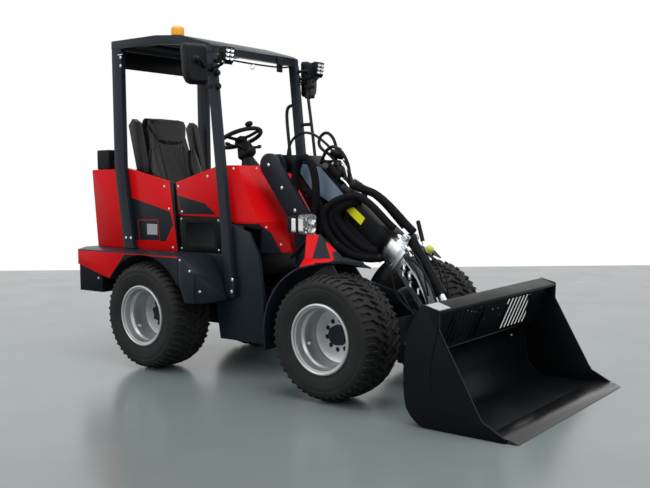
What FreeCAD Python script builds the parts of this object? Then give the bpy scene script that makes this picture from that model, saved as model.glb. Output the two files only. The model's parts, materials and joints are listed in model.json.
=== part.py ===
import FreeCAD, Part
import os
from math import atan2, cos, degrees, pi, radians, sin

V = FreeCAD.Vector

# Compact articulated wheel loader with a canopy, a telescopic boom and a bucket.
# All sizes are millimetres. While modelling, x = 0 is the front axle, +X points
# forward, +Y to the driver's left and z = 0 is the ground. Every solid is moved
# by FRONT_AXLE_X when it is written, so that the origin lies under the middle
# of the whole machine.

# ---- Wheels ----
WHEELBASE = 1545.0
TRACK = 1022.0            # between the wheels' centre planes
TYRE_R = 372.0            # out to the tips of the lugs
TYRE_W = 345.0
LUG_H = 15.0
LUG_COUNT = 26
RIM_R = 206.5             # flange radius
RIM_W = 322.0             # over the flanges
RIM_BARREL_R = 172.0
BEAD_Y = RIM_W / 2 - 18.3  # outer faces of the tyre's beads
RIM_DISC_DEPTH = 190.0    # from the outer flange to the disc
RIM_WALL = 6.0
RIM_BORE_R = 62.0
RIM_HOLE_COUNT = 8
RIM_HOLE_R = 17.0
RIM_HOLE_CIRCLE_R = 92.0
SEAT_GAP = 0.3            # between pieces that rest on each other

# ---- Overall reach ----
REAR_REACH = 865.0        # rear axle to the bumper's back
FRONT_REACH = 1258.0      # front axle to the cutting edge
FRONT_AXLE_X = (REAR_REACH + WHEELBASE - FRONT_REACH) / 2
AXLE_Z = TYRE_R
REAR_AXLE_X = -WHEELBASE
PIVOT_X = -WHEELBASE / 2  # the articulation's upright pin

# ---- Axles ----
AXLE_TUBE_R = 52.0
HUB_R = 104.0
HUB_L = 120.0
HUB_NOSE_R = 58.0
HUB_NOSE_L = 34.0
DISC_GAP = 0.3            # between the turning disc and its hub
DISC_Y = TRACK / 2 + RIM_W / 2 - RIM_DISC_DEPTH
HUB_FACE_Y = DISC_Y - RIM_WALL - DISC_GAP

# ---- Articulation ----
HITCH_PIN_R = 25.0
HITCH_BOSS_R = 62.0
HITCH_Z0 = 285.0          # underside of the lower rear ear
HITCH_EAR_T = 28.0
HITCH_BOSS_H = 150.0
HITCH_GAP = 0.3

# ---- Rear frame ----
RAIL_HALF_W = 140.0
RAIL_T = 16.0
RAIL_Z0 = 270.0
RAIL_Z1 = 540.0
RAIL_REAR_X = REAR_AXLE_X - 735.0
RAIL_FRONT_X = PIVOT_X - 350.0
DECK_Z = 800.0            # top of the shelf that the red panels stand on
BODY_HALF_W = 400.0
SHEET = 12.0
PANEL_T = 28.0
SEAM = 5.0
WIDE = 900.0              # reach of cutting shapes past either side
BLOCK_X0 = REAR_AXLE_X - 685.0
BLOCK_X1 = REAR_AXLE_X + 25.0
BLOCK_HALF_W = 300.0
WING_OUT_Y = 655.0
WING_CORNER_Y = 470.0
WING_CORNER_X = REAR_AXLE_X - 705.0
REAR_X = REAR_AXLE_X - REAR_REACH
ARCH_R = 415.0
ARCH_IN_Y = 322.0
WING_FRONT_X = REAR_AXLE_X + 355.0
WING_STEP_X = REAR_AXLE_X - 335.0    # front end of the bumper's slanted underside
WING_LOW_Z = 600.0
TOW_X = REAR_X + 62.0
TOW_R = 16.0
TOW_SLOT_Z0 = 585.0
TOW_SLOT_Z1 = 640.0
WELL_HALF_W = 312.0       # half width of the space between the wings
HOOD_REAR_TOP_X = REAR_AXLE_X - 850.0
HOOD_REAR_LOW_X = REAR_AXLE_X - 799.0
HOOD_FRONT_TOP_X = REAR_AXLE_X - 533.0
HOOD_FRONT_LOW_X = REAR_AXLE_X - 451.0
HOOD_TOP_Z = 1380.0
HOOD_WALL = 10.0
P1_TL = (REAR_AXLE_X - 440.0, 1387.0)
P1_TR = (REAR_AXLE_X + 54.0, 1275.0)
P1_BR = (REAR_AXLE_X + 85.0, DECK_Z + SEAT_GAP)
P1_BL = (REAR_AXLE_X - 360.0, DECK_Z + SEAT_GAP)
P2_TR = (PIVOT_X - 290.5, 1385.0)
P2_BL = (REAR_AXLE_X + 97.0, 1050.0)
P2_BR = (PIVOT_X - 271.5, 1043.0)
LOWER_FRONT_X = PIVOT_X + 105.0
LOWER_Z0 = 228.0
LOWER_T = 26.0
LOWER_OUT_Y = BODY_HALF_W - SEAT_GAP
FLOOR_HALF_W = LOWER_OUT_Y - LOWER_T - SEAT_GAP
COWL_BACK_X = P2_TR[0] + SEAM
COWL_T = 12.0
COWL_BACK = COWL_BACK_X - PIVOT_X
# Half plans of the cowl at three heights, from the pivot: back corner, crease, edge of the middle strip
COWL_PLANS = ((802.0, ((COWL_BACK, BODY_HALF_W - 2), (-60.0, BODY_HALF_W - 130), (100.0, 85.0))),
              (1014.0, ((COWL_BACK, BODY_HALF_W - 4), (-42.0, BODY_HALF_W - 100), (30.0, 100.0))),
              (1390.0, ((COWL_BACK, BODY_HALF_W - 12), (-194.0, BODY_HALF_W - 100), (-240.0, 130.0))))
COWL_SIDE_LINE = ((P2_TR[0] - 22, 1040.0), (PIVOT_X - 9.5, 955.0), (PIVOT_X + 70.5, 800.0))

# ---- Canopy ----
POST_W = 45.0
POST_OUT_Y = BODY_HALF_W + SEAT_GAP + POST_W
REAR_POST_D = 100.0
FRONT_POST_D = 62.0
REAR_POST_X = REAR_AXLE_X - 475.0
REAR_POST_BEND_Z = 1400.0
REAR_POST_FOOT_X = REAR_AXLE_X - 390.0
FRONT_POST_TOP_X = PIVOT_X - 307.5
FRONT_POST_FOOT_X = PIVOT_X - 152.5
ROOF_REAR_Z = 2300.0
ROOF_FRONT_Z = 2182.0
ROOF_ARCH_X = REAR_AXLE_X + 45.0
ROOF_ARCH_Z = 2285.0
ROOF_BEAM_H = 58.0
ROOF_SKIN = 4.0

# ---- Driver's place ----
FLOOR_Z = 640.0
SEAT_X = REAR_AXLE_X - 105.0
SEAT_BASE_X0 = SEAT_X - 300.0
SEAT_BASE_X1 = SEAT_X + 160.0
SEAT_W = 470.0
SEAT_CUSHION_Z = 1130.0
SEAT_CUSHION_T = 110.0
SEAT_CUSHION_L = 440.0
SEAT_BACK_H = 720.0
SEAT_BACK_T = 90.0
SEAT_BACK_LEAN = 14.0
WHEEL_R = 175.0
WHEEL_RIM_R = 14.0
WHEEL_HUB_X = PIVOT_X - 452.5
WHEEL_HUB_Z = 1590.0
WHEEL_LEAN = 24.0
SEAT_BACK_X = SEAT_X - SEAT_CUSHION_L / 2 - SEAT_GAP
SEAT_BACK_Z = SEAT_CUSHION_Z - 60
ARM_IN_Y = 262.0
ARM_W = 48.0
WHEEL_AXIS = (-sin(radians(WHEEL_LEAN)), cos(radians(WHEEL_LEAN)))
COLUMN_TOP = -34.0

# ---- Front frame ----
TOWER_IN_Y = 104.0        # inner faces of the tower plates
TOWER_T = 18.0
TOWER_OUT_Y = TOWER_IN_Y + TOWER_T
BOOM_PIVOT_X = -790.0
BOOM_PIVOT_Z = 1390.0
BOOM_PIN_R = 22.0
FENDER_R = 424.0          # inside of the arched shell
FENDER_T = 10.0
FENDER_OUT_Y = 668.0
FENDER_IN_Y = 395.0
FENDER_TOP_Z = 955.0
FENDER_FOLD = (470.0, 818.0)     # where the steep side meets the ledge, as (y, z)
FENDER_LEDGE_Z = 780.0
FENDER_BODY_X = (-262.0, -147.0, -30.0, 124.0)   # rear end, outer corner, front of the side, tip
FLAP_IN_Y = 430.0         # rubber flap behind the wheel
FLAP_Z0 = 262.0
CHASSIS_X0 = PIVOT_X + 150.0
CHASSIS_X1 = 150.0
CHASSIS_Z0 = 262.0
CHASSIS_Z1 = 560.0
TIE_DOWN_X = -520.0       # lashing holes high in the tower plates
TIE_DOWN_Z = 790.0
TIE_DOWN_R = 18.0
COVER_Y0 = 160.0
COVER_Y1 = 194.0
COVER_R = 76.0

# ---- Boom, in its own frame: s runs along the boom, n is square to it ----
BOOM_ANGLE = 38.0
BOOM_W = 150.0
BOOM_H = 150.0
BOOM_WALL = 8.0
BOOM_RISE = 42.0          # underside of the outer tube above the pivot
BOOM_S0 = -60.0
BOOM_SHOULDER_S = 150.0   # where the closed rear slope meets the top plate
BOOM_S1 = 975.0
INNER_CLEARANCE = 6.0
INNER_S0 = 330.0
INNER_S1 = 1115.0
PAD_GAP = 0.3
TELESCOPE = 600.0
TOOL_PIVOT_S = 1650.0
TOOL_PIVOT_N = -117.0
NOSE_HALF_W = 64.0
NOSE_T = 16.0

# ---- Cylinders: positions of the pins ----
LIFT_BASE_X = -375.0
LIFT_BASE_Z = 452.0
LIFT_PIN_S = 300.0
LIFT_PIN_N = -8.0
LIFT_BARREL_R = 42.0
LIFT_ROD_R = 22.0
LIFT_BARREL_L = 640.0
TILT_BASE_S = 1062.0
TILT_BASE_N = 240.0
TILT_PIN_S = 1640.0
TILT_PIN_N = 40.0
TILT_BARREL_R = 34.0
TILT_ROD_R = 18.0
TILT_BARREL_L = 400.0
STEER_Y = -204.0
STEER_Z = 545.0
STEER_BASE_X = PIVOT_X - 385.0
STEER_PIN_X = PIVOT_X + 260.0
STEER_BARREL_R = 30.0
STEER_ROD_R = 16.0
STEER_BARREL_L = 425.0
CYLINDER_PIN_R = 15.0
EYE_GAP = 3.0             # between an eye and the ears beside it
PIN_GAP = 0.05

# ---- Bucket ----
BUCKET_W = 1486.0
BUCKET_FLOOR_GAP = 2.0    # the bucket's underside above the ground
BUCKET_PLATE = 8.0
BUCKET_SIDE = 14.0
BUCKET_EDGE_T = 20.0
BUCKET_EDGE_L = 190.0
SLOT_COUNT = 8
SLOT_W = 14.0
SLOT_PITCH = 34.0
SLOT_FIRST_Y = 90.0
CARRIER_HALF_W = 290.0
BUCKET_BACK_X = 613.0
CARRIER_FACE_X = BUCKET_BACK_X - 22.0


# ---- Helpers ----

def box(x0, x1, y0, y1, z0, z1):
    return Part.makeBox(x1 - x0, y1 - y0, z1 - z0, V(x0, y0, z0))


def wire_of(points):
    return Part.makePolygon([V(*p) for p in points] + [V(*points[0])])


def prism_y(outline, y0, y1):
    """Outline of (x, z) points drawn out from y0 to y1."""
    face = Part.Face(wire_of([(x, y0, z) for x, z in outline]))
    return face.extrude(V(0, y1 - y0, 0))


def prism_z(outline, z0, z1):
    face = Part.Face(wire_of([(x, y, z0) for x, y in outline]))
    return face.extrude(V(0, 0, z1 - z0))


def prism_x(outline, x0, x1):
    face = Part.Face(wire_of([(x0, y, z) for y, z in outline]))
    return face.extrude(V(x1 - x0, 0, 0))


def rod(start, end, radius):
    start, end = V(*start), V(*end)
    return Part.makeCylinder(radius, (end - start).Length, start, end - start)


def pin_y(x, z, radius, y0, y1):
    return rod((x, y0, z), (x, y1, z), radius)


def tube_path(points, radius, bend):
    """Round bar along straight runs joined by tangent arcs of one bend radius."""
    pts = [V(*p) for p in points]
    edges = []
    start = pts[0]
    for i in range(1, len(pts) - 1):
        a = (pts[i - 1] - pts[i]).normalize()
        b = (pts[i + 1] - pts[i]).normalize()
        turn = a.getAngle(b) / 2
        back = bend / (sin(turn) / cos(turn))
        t0, t1 = pts[i] + a * back, pts[i] + b * back
        middle = (a + b).normalize()
        mid = pts[i] + middle * (bend / sin(turn) - bend)
        edges.append(Part.LineSegment(start, t0).toShape())
        edges.append(Part.Arc(t0, mid, t1).toShape())
        start = t1
    edges.append(Part.LineSegment(start, pts[-1]).toShape())
    path = Part.Wire(edges)
    circle = Part.Wire(Part.makeCircle(radius, pts[0], pts[1] - pts[0]))
    return path.makePipeShell([circle], True, False)


def fuse(shapes):
    shapes = list(shapes)
    result = shapes[0]
    if len(shapes) > 1:
        result = result.multiFuse(shapes[1:])
    return result.removeSplitter()


def cut(shape, tools):
    for tool in tools:
        shape = shape.cut(tool)
    return shape


def mirrored(shape):
    return shape.mirror(V(0, 0, 0), V(0, 1, 0))


def pair(shape):
    """The shape and its mirror image across the machine's middle plane."""
    return [shape, mirrored(shape)]


def round_edges(shape, radius, pick):
    edges = [e for e in shape.Edges if pick(e)]
    return shape.makeFillet(radius, edges) if edges else shape


def is_along(edge, axis):
    if len(edge.Vertexes) < 2:
        return False
    run = edge.Vertexes[1].Point - edge.Vertexes[0].Point
    return run.Length > 1e-6 and abs(run.normalize().dot(axis)) > 0.999


def turned_y(shape, degrees_down, x, z):
    """Turn a shape about the crosswise line through (x, z)."""
    turned = shape.copy()
    turned.rotate(V(x, 0, z), V(0, 1, 0), degrees_down)
    return turned


def on_boom(shape):
    """Carry a shape drawn in boom coordinates (s, y, n) to its place."""
    placed = shape.copy()
    placed.rotate(V(0, 0, 0), V(0, 1, 0), BOOM_ANGLE)
    placed.translate(V(BOOM_PIVOT_X, 0, BOOM_PIVOT_Z))
    return placed


def boom_point(s, n):
    c, k = cos(radians(BOOM_ANGLE)), sin(radians(BOOM_ANGLE))
    return BOOM_PIVOT_X + s * c + n * k, BOOM_PIVOT_Z - s * k + n * c


def eye(x, z, radius, half_w, hole_r):
    ring = pin_y(x, z, radius, -half_w, half_w)
    return ring.cut(pin_y(x, z, hole_r, -half_w - 1, half_w + 1))


def cylinder_barrel(base, tip, radius, length, eye_r, half_w, rod_r):
    """Barrel with its base eye; base and tip are (x, z) of the two pins."""
    run = V(tip[0] - base[0], 0, tip[1] - base[1]).normalize()
    b = V(base[0], 0, base[1])
    body = Part.makeCylinder(radius, length - eye_r, b + run * eye_r, run)
    gland = Part.makeCylinder(radius + 4, 30, b + run * (length - 30), run)
    bore = Part.makeCylinder(rod_r + PIN_GAP, length, b + run * (eye_r + 20), run)
    neck = Part.makeCylinder(radius * 0.8, eye_r, b + run * 2, run)
    hole = pin_y(base[0], base[1], CYLINDER_PIN_R + PIN_GAP, -half_w - 1, half_w + 1)
    ring = pin_y(base[0], base[1], eye_r, -half_w, half_w)
    limit = box(-5000, 5000, -half_w, half_w, -5000, 5000)
    solid = fuse([body, gland, neck.common(limit), ring])
    return cut(solid, [bore, hole])


def cylinder_rod(base, tip, start, rod_r, eye_r, half_w):
    """Rod from its piston end, start along the line, to the eye at the tip."""
    run = V(tip[0] - base[0], 0, tip[1] - base[1])
    length = run.Length
    run.normalize()
    b = V(base[0], 0, base[1])
    bar = Part.makeCylinder(rod_r, length - start - eye_r * 0.6, b + run * start, run)
    ring = pin_y(tip[0], tip[1], eye_r, -half_w, half_w)
    hole = pin_y(tip[0], tip[1], CYLINDER_PIN_R + PIN_GAP, -half_w - 1, half_w + 1)
    return fuse([bar, ring]).cut(hole)


def export(name, shapes):
    shapes = shapes if isinstance(shapes, list) else [shapes]
    solids = [solid for s in shapes for solid in s.Solids]
    for solid in solids:
        if not solid.isValid():
            print("not valid:", name)
    shape = solids[0] if len(solids) == 1 else Part.makeCompound(solids)
    shape = shape.copy()
    shape.translate(V(FRONT_AXLE_X, 0, 0))
    shape.exportStep("parts/%s.step" % name)


# ---- Wheels ----

def tyre_profile():
    """Half outline of the tyre as (y from the centre plane, radius)."""
    half = TYRE_W / 2
    base = TYRE_R - LUG_H
    seat = RIM_BARREL_R + SEAT_GAP + 12
    return [(BEAD_Y, seat), (BEAD_Y, RIM_R + 4), (half - 3, RIM_R + 38),
            (half, RIM_R + 78), (half - 12, base - 42), (half - 46, base - 12), (0, base)]


def tyre(x, side):
    half_outline = tyre_profile()
    outline = half_outline + [(-y, r) for y, r in reversed(half_outline[:-1])]
    face = Part.Face(wire_of([(0, y, r) for y, r in outline]))
    carcass = face.revolve(V(0, 0, 0), V(0, 1, 0), 360)
    lugs = []
    step = 360.0 / LUG_COUNT
    bar = lug_bar()
    for i in range(LUG_COUNT):
        left = bar.copy()
        left.rotate(V(0, 0, 0), V(0, 1, 0), i * step)
        right = mirrored(bar)
        right.rotate(V(0, 0, 0), V(0, 1, 0), (i + 0.5) * step)
        lugs += [left, right]
    solid = carcass.multiFuse(lugs)
    solid.translate(V(x, side * TRACK / 2, AXLE_Z))
    return solid


def lug_bar():
    """One raised bar from the shoulder to just past the middle of the tread."""
    half = TYRE_W / 2
    base = TYRE_R - LUG_H
    pitch = 2 * pi / LUG_COUNT
    wide = pitch * 0.24
    slant = pitch * 0.55
    shoulder_y, knee_y, inner_y = half - 8, half - 44, -14

    def section(y, r_low, r_high):
        middle = slant * (shoulder_y - y) / (shoulder_y - inner_y)
        corners = ((middle - wide, r_low), (middle + wide, r_low),
                   (middle + wide * 0.8, r_high), (middle - wide * 0.8, r_high))
        return wire_of([(r * sin(a), y, r * cos(a)) for a, r in corners])

    outer = section(shoulder_y, base - 60, base - 36)
    knee = section(knee_y, base - 30, TYRE_R - 8)
    inner = section(inner_y, base - 20, TYRE_R)
    return Part.makeLoft([outer, knee, inner], True, True)


def rim(x, side):
    half = RIM_W / 2
    disc_y = half - RIM_DISC_DEPTH
    seat_r, well_r = RIM_BARREL_R + 12, RIM_BARREL_R - 2
    inside = [(half, RIM_R), (half, RIM_R - 6), (half - 12, RIM_R - 14), (half - 12, seat_r),
              (half - 66, seat_r - 4), (half - 74, well_r - 6), (disc_y + 10, well_r - 6),
              (disc_y, well_r - 18), (disc_y, RIM_BORE_R)]
    behind = [(disc_y - RIM_WALL, RIM_BORE_R), (disc_y - RIM_WALL, well_r - 12), (-half + 74, well_r - 6),
              (-half + 66, seat_r - 6), (-half + 12, seat_r - 6), (-half + 12, RIM_R - 14),
              (-half, RIM_R - 6), (-half, RIM_R)]
    tyre_side = [(half - 16, RIM_R), (half - 18, seat_r), (half - 68, seat_r), (half - 78, well_r),
                 (-half + 78, well_r), (-half + 68, seat_r), (-half + 18, seat_r), (-half + 16, RIM_R)]
    outline = inside + behind + list(reversed(tyre_side))
    if side < 0:
        outline = [(-y, r) for y, r in outline]
    face = Part.Face(wire_of([(0, y, r) for y, r in outline]))
    solid = face.revolve(V(0, 0, 0), V(0, 1, 0), 360)
    holes = []
    for i in range(RIM_HOLE_COUNT):
        a = 2 * pi * (i + 0.5) / RIM_HOLE_COUNT
        hx, hz = RIM_HOLE_CIRCLE_R * cos(a), RIM_HOLE_CIRCLE_R * sin(a)
        y = side * disc_y
        holes.append(rod((hx, y - 20, hz), (hx, y + 20, hz), RIM_HOLE_R))
    solid = cut(solid, holes)
    solid.translate(V(x, side * TRACK / 2, AXLE_Z))
    return solid


def axle(x):
    """Beam with a hub at each end; the wheel discs turn on the hub noses."""
    beam = pin_y(x, AXLE_Z, AXLE_TUBE_R, -HUB_FACE_Y + HUB_L - 1, HUB_FACE_Y - HUB_L + 1)
    parts = [beam]
    for side in (1, -1):
        inner, outer = side * (HUB_FACE_Y - HUB_L), side * HUB_FACE_Y
        parts.append(rod((x, inner, AXLE_Z), (x, outer, AXLE_Z), HUB_R))
        nose_r = min(HUB_NOSE_R, RIM_BORE_R - 0.5)
        parts.append(rod((x, outer, AXLE_Z), (x, outer + side * HUB_NOSE_L, AXLE_Z), nose_r))
    return fuse(parts)


# ---- Rear frame ----

def rear_chassis():
    rails = []
    for y0, y1 in ((RAIL_HALF_W - RAIL_T, RAIL_HALF_W), (-RAIL_HALF_W, -RAIL_HALF_W + RAIL_T)):
        rails.append(box(RAIL_REAR_X, RAIL_FRONT_X, y0, y1, RAIL_Z0, RAIL_Z1))
    ear_z = (HITCH_Z0, HITCH_Z0 + HITCH_EAR_T + HITCH_BOSS_H + 2 * HITCH_GAP)
    ears = []
    for z in ear_z:
        plate = box(RAIL_FRONT_X - 200, PIVOT_X, -HITCH_BOSS_R, HITCH_BOSS_R, z, z + HITCH_EAR_T)
        root = prism_z([(RAIL_FRONT_X - 200, -RAIL_HALF_W), (RAIL_FRONT_X, -RAIL_HALF_W),
                        (PIVOT_X - 80, -HITCH_BOSS_R), (PIVOT_X - 80, HITCH_BOSS_R),
                        (RAIL_FRONT_X, RAIL_HALF_W), (RAIL_FRONT_X - 200, RAIL_HALF_W)],
                       z, z + HITCH_EAR_T)
        tip = Part.makeCylinder(HITCH_BOSS_R, HITCH_EAR_T, V(PIVOT_X, 0, z))
        ears += [plate, root, tip]
    pin = Part.makeCylinder(HITCH_PIN_R, ear_z[1] - ear_z[0] + 2 * HITCH_EAR_T,
                            V(PIVOT_X, 0, ear_z[0] - HITCH_EAR_T / 2))
    bulkhead = box(RAIL_FRONT_X - 16, RAIL_FRONT_X, -RAIL_HALF_W, RAIL_HALF_W, RAIL_Z0, RAIL_Z1)
    crosses = [box(x, x + RAIL_T, -RAIL_HALF_W, RAIL_HALF_W, RAIL_Z0, RAIL_Z1 - 40)
               for x in (RAIL_REAR_X, REAR_AXLE_X - 150, REAR_AXLE_X + 130)]
    top = box(RAIL_REAR_X, RAIL_FRONT_X, -RAIL_HALF_W, RAIL_HALF_W, RAIL_Z1, RAIL_Z1 + SHEET)
    bracket_x = STEER_BASE_X
    bracket = []
    for z0 in (STEER_Z - 30 - 14, STEER_Z + 30):
        plate = box(bracket_x - 55, bracket_x + 26, STEER_Y - 26, -RAIL_HALF_W, z0, z0 + 14)
        bracket.append(plate)
    bracket.append(box(bracket_x - 55, bracket_x - 43, STEER_Y - 26, -RAIL_HALF_W,
                       STEER_Z - 44, STEER_Z + 44))
    solid = fuse(rails + ears + [pin, bulkhead, top] + crosses + bracket)
    return solid.cut(pin_y(REAR_AXLE_X, AXLE_Z, AXLE_TUBE_R + 0.2, -HUB_FACE_Y, HUB_FACE_Y))


def power_block():
    return box(BLOCK_X0, BLOCK_X1, -BLOCK_HALF_W, BLOCK_HALF_W, RAIL_Z1 + SHEET, DECK_Z - SHEET - SEAT_GAP)


def wing_plan(half_w, inset):
    return [(REAR_X + inset, -WING_CORNER_Y + inset / 2), (REAR_X + inset, WING_CORNER_Y - inset / 2),
            (WING_CORNER_X + inset, half_w - inset), (WING_FRONT_X, half_w - inset),
            (WING_FRONT_X, -half_w + inset), (WING_CORNER_X + inset, -half_w + inset)]


def arch_cut():
    return [pin_y(REAR_AXLE_X, AXLE_Z, ARCH_R, y0, y1)
            for y0, y1 in ((ARCH_IN_Y, WIDE), (-WIDE, -ARCH_IN_Y))]


def rear_wings():
    """Red wrap-around: bumper, corners and the shelf above each rear wheel."""
    solid = prism_z(wing_plan(WING_OUT_Y, 0), WING_LOW_Z, DECK_Z)
    below = prism_y([(REAR_X - 50, WING_LOW_Z - 10), (REAR_X - 50, 710), (WING_CORNER_X + 10, 690),
                     (WING_STEP_X, WING_LOW_Z), (WING_STEP_X, WING_LOW_Z - 10)], -WIDE, WIDE)
    inside = box(REAR_X + 170, WING_FRONT_X + 10, -WELL_HALF_W, WELL_HALF_W, WING_LOW_Z - 10, DECK_Z - SHEET)
    footwell = box(SEAT_BASE_X1 - SEAT_GAP, WING_FRONT_X + 10, -WELL_HALF_W, WELL_HALF_W,
                   WING_LOW_Z, DECK_Z + 1)
    return cut(solid, [below, inside, footwell] + arch_cut())


def rear_counterweight():
    """Dark cast weight below the red wrap, cut away for the wheels."""
    inset = 8
    solid = prism_z([(x, y) for x, y in wing_plan(WING_OUT_Y, inset)], 500, 760)
    above = prism_y([(REAR_X - 50, DECK_Z), (REAR_X - 50, 709.5), (WING_CORNER_X + 10, 689.5),
                     (WING_STEP_X, WING_LOW_Z - .5), (WING_FRONT_X + 90, WING_LOW_Z - .5),
                     (WING_FRONT_X + 90, DECK_Z)], -WIDE, WIDE)
    ahead = box(REAR_AXLE_X - 440, WING_FRONT_X + 190, -WIDE, WIDE, 400, 900)
    inside = box(REAR_X + 125, REAR_AXLE_X - 355, -BLOCK_HALF_W - 10, BLOCK_HALF_W + 10, 400, 900)
    rear_face = prism_y([(REAR_X - 50, 480), (REAR_X - 50, 560), (REAR_X + 60, 480)], -WIDE, WIDE)
    tow_slot = box(REAR_X - 10, TOW_X + 50, -70, 70, TOW_SLOT_Z0, TOW_SLOT_Z1)
    tow_bore = Part.makeCylinder(TOW_R, 400, V(TOW_X, 0, 450))
    return cut(solid, [above, ahead, inside, rear_face, tow_slot, tow_bore] + arch_cut())


def wing_flares():
    """Dark moulded guards ahead of the rear wheels, tapering in to the body."""
    x0 = WING_FRONT_X + 2
    outline = [(x0, DECK_Z), (x0 + 68, 770), (x0 + 138, 700), (x0 + 203, 600), (x0 + 253, 505),
               (x0 + 188, 490), (x0 + 28, 490), (x0 - 112, 560), (x0 - 112, 640), (x0, 700)]
    solid = prism_y(outline, BODY_HALF_W + SEAT_GAP, WING_OUT_Y)
    arch = pin_y(REAR_AXLE_X, AXLE_Z, ARCH_R + 12, BODY_HALF_W - 10, WIDE)
    taper = prism_z([(x0 + 113, WIDE), (x0 + 148, 640), (x0 + 203, 560), (x0 + 288, BODY_HALF_W - 10),
                     (x0 + 688, BODY_HALF_W - 10), (x0 + 688, WIDE)], 400, 900)
    behind = box(x0 - 312, x0, 300, WIDE, 400, 900)
    post_way = box(FRONT_POST_FOOT_X - 47, FRONT_POST_FOOT_X + 75, 300, POST_OUT_Y + SEAM, 400, 900)
    return pair(cut(solid, [arch, behind, taper, post_way]))


def rear_hood():
    """Closed rear hood behind the seat; its side edges follow the bent posts."""
    z0 = DECK_Z + SEAT_GAP
    outline = [(HOOD_REAR_LOW_X, z0), (HOOD_REAR_TOP_X, HOOD_TOP_Z), (HOOD_FRONT_TOP_X, HOOD_TOP_Z),
               (HOOD_FRONT_LOW_X, z0)]
    solid = prism_y(outline, -BODY_HALF_W, BODY_HALF_W)
    solid = round_edges(solid, 14, lambda e: is_along(e, V(0, 1, 0))
                        and e.CenterOfMass.z > HOOD_TOP_Z - 1 and e.CenterOfMass.x < HOOD_FRONT_TOP_X - 100)
    w = HOOD_WALL
    inner = [(HOOD_REAR_LOW_X + w, z0 - 1), (HOOD_REAR_TOP_X + w, HOOD_TOP_Z - w),
             (HOOD_FRONT_TOP_X - w, HOOD_TOP_Z - w), (HOOD_FRONT_LOW_X - w, z0 - 1)]
    return solid.cut(prism_y(inner, -BODY_HALF_W + w, BODY_HALF_W - w))


def side_panel_rear(side):
    outline = [P1_TL, P1_TR, P1_BR, P1_BL]
    y0, y1 = sorted((side * (BODY_HALF_W - PANEL_T), side * BODY_HALF_W))
    return prism_y(outline, y0, y1)


def side_panel_right_front():
    outline = [(P1_TR[0] + 22, P1_TR[1] + 4), P2_TR, P2_BR, P2_BL]
    return prism_y(outline, -BODY_HALF_W, -BODY_HALF_W + PANEL_T)


def storage_box_right():
    outline = [(P2_BL[0] + 4, P2_BL[1] - SEAM), (P2_BR[0], P2_BR[1] - SEAT_GAP),
               (P2_BR[0], DECK_Z + SEAT_GAP), (P1_BR[0] + 34, DECK_Z + SEAT_GAP)]
    solid = prism_y(outline, -BODY_HALF_W + 4, -BODY_HALF_W + 130)
    recess = box(P2_BL[0] + 78, P2_BR[0] - 66, -BODY_HALF_W - 1, -BODY_HALF_W + 10, DECK_Z + 50, DECK_Z + 200)
    return solid.cut(recess)


def lower_wall_outline(top_z):
    """Rear, lower and front edges of the walls between the wheels."""
    x0 = WING_FRONT_X + SEAM
    return [(x0, top_z), (x0, 620), (x0 + 85, 480), (x0 + 125, LOWER_Z0), (LOWER_FRONT_X, LOWER_Z0),
            (LOWER_FRONT_X, 520)]


def lower_body_right():
    """Dark lower side wall between the wheels; the cowl rests on its rear top corner."""
    outline = lower_wall_outline(DECK_Z - SEAT_GAP)
    (back_x, back_z), (knee_x, knee_z), (front_x, front_z) = COWL_SIDE_LINE
    rear_x = P2_BR[0] + SEAM
    rest_z = back_z + (knee_z - back_z) * (rear_x - back_x) / (knee_x - back_x) - SEAT_GAP
    outline += [(front_x - SEAM, DECK_Z), (knee_x - SEAM, knee_z - SEAM - 2), (rear_x, rest_z),
                (rear_x, DECK_Z - SEAT_GAP)]
    return prism_y(outline, -LOWER_OUT_Y, -LOWER_OUT_Y + LOWER_T)


def entry_step_left():
    """Left side of the cab is open: a low wall with a step cut into it."""
    outline = lower_wall_outline(FLOOR_Z) + [(PIVOT_X + 60, FLOOR_Z)]
    step_x0, step_x1 = WING_FRONT_X + SEAM + 155, PIVOT_X - 17.5
    wall = prism_y(outline, LOWER_OUT_Y - LOWER_T, LOWER_OUT_Y)
    foothold = box(step_x0, step_x1, BODY_HALF_W - 60, BODY_HALF_W + 10, 360, 500)
    tread = box(step_x0, step_x1, BODY_HALF_W - 110, LOWER_OUT_Y, 348, 360)
    return fuse([wall.cut(foothold), tread])


def floor_plate():
    wide, narrow = FLOOR_HALF_W, WELL_HALF_W - SEAT_GAP
    x0, x1, x2 = SEAT_BASE_X1 - 10, WING_FRONT_X + SEAM, PIVOT_X - 130
    floor = prism_z([(x0, -narrow), (x1, -narrow), (x1, -wide), (x2, -wide), (x2, wide), (x1, wide),
                     (x1, narrow), (x0, narrow)], FLOOR_Z, FLOOR_Z + SHEET)
    bulkhead = box(PIVOT_X - 142, PIVOT_X - 130, -FLOOR_HALF_W, FLOOR_HALF_W, FLOOR_Z, 800)
    return fuse([floor, bulkhead])


def seat_base():
    half = BODY_HALF_W - PANEL_T - 6
    low = box(SEAT_BASE_X0, SEAT_BASE_X1 + SHEET, -half, half, DECK_Z + SEAT_GAP, 960)
    slides = box(SEAT_BASE_X0 + 60, SEAT_BASE_X1 - 40, -190, 190, 960,
                 SEAT_CUSHION_Z - SEAT_CUSHION_T - 0.3)
    front = box(SEAT_BASE_X1, SEAT_BASE_X1 + SHEET, -WELL_HALF_W + SEAT_GAP, WELL_HALF_W - SEAT_GAP,
                FLOOR_Z + SHEET + SEAT_GAP, DECK_Z + 20)
    return fuse([low, slides, front])


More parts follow.
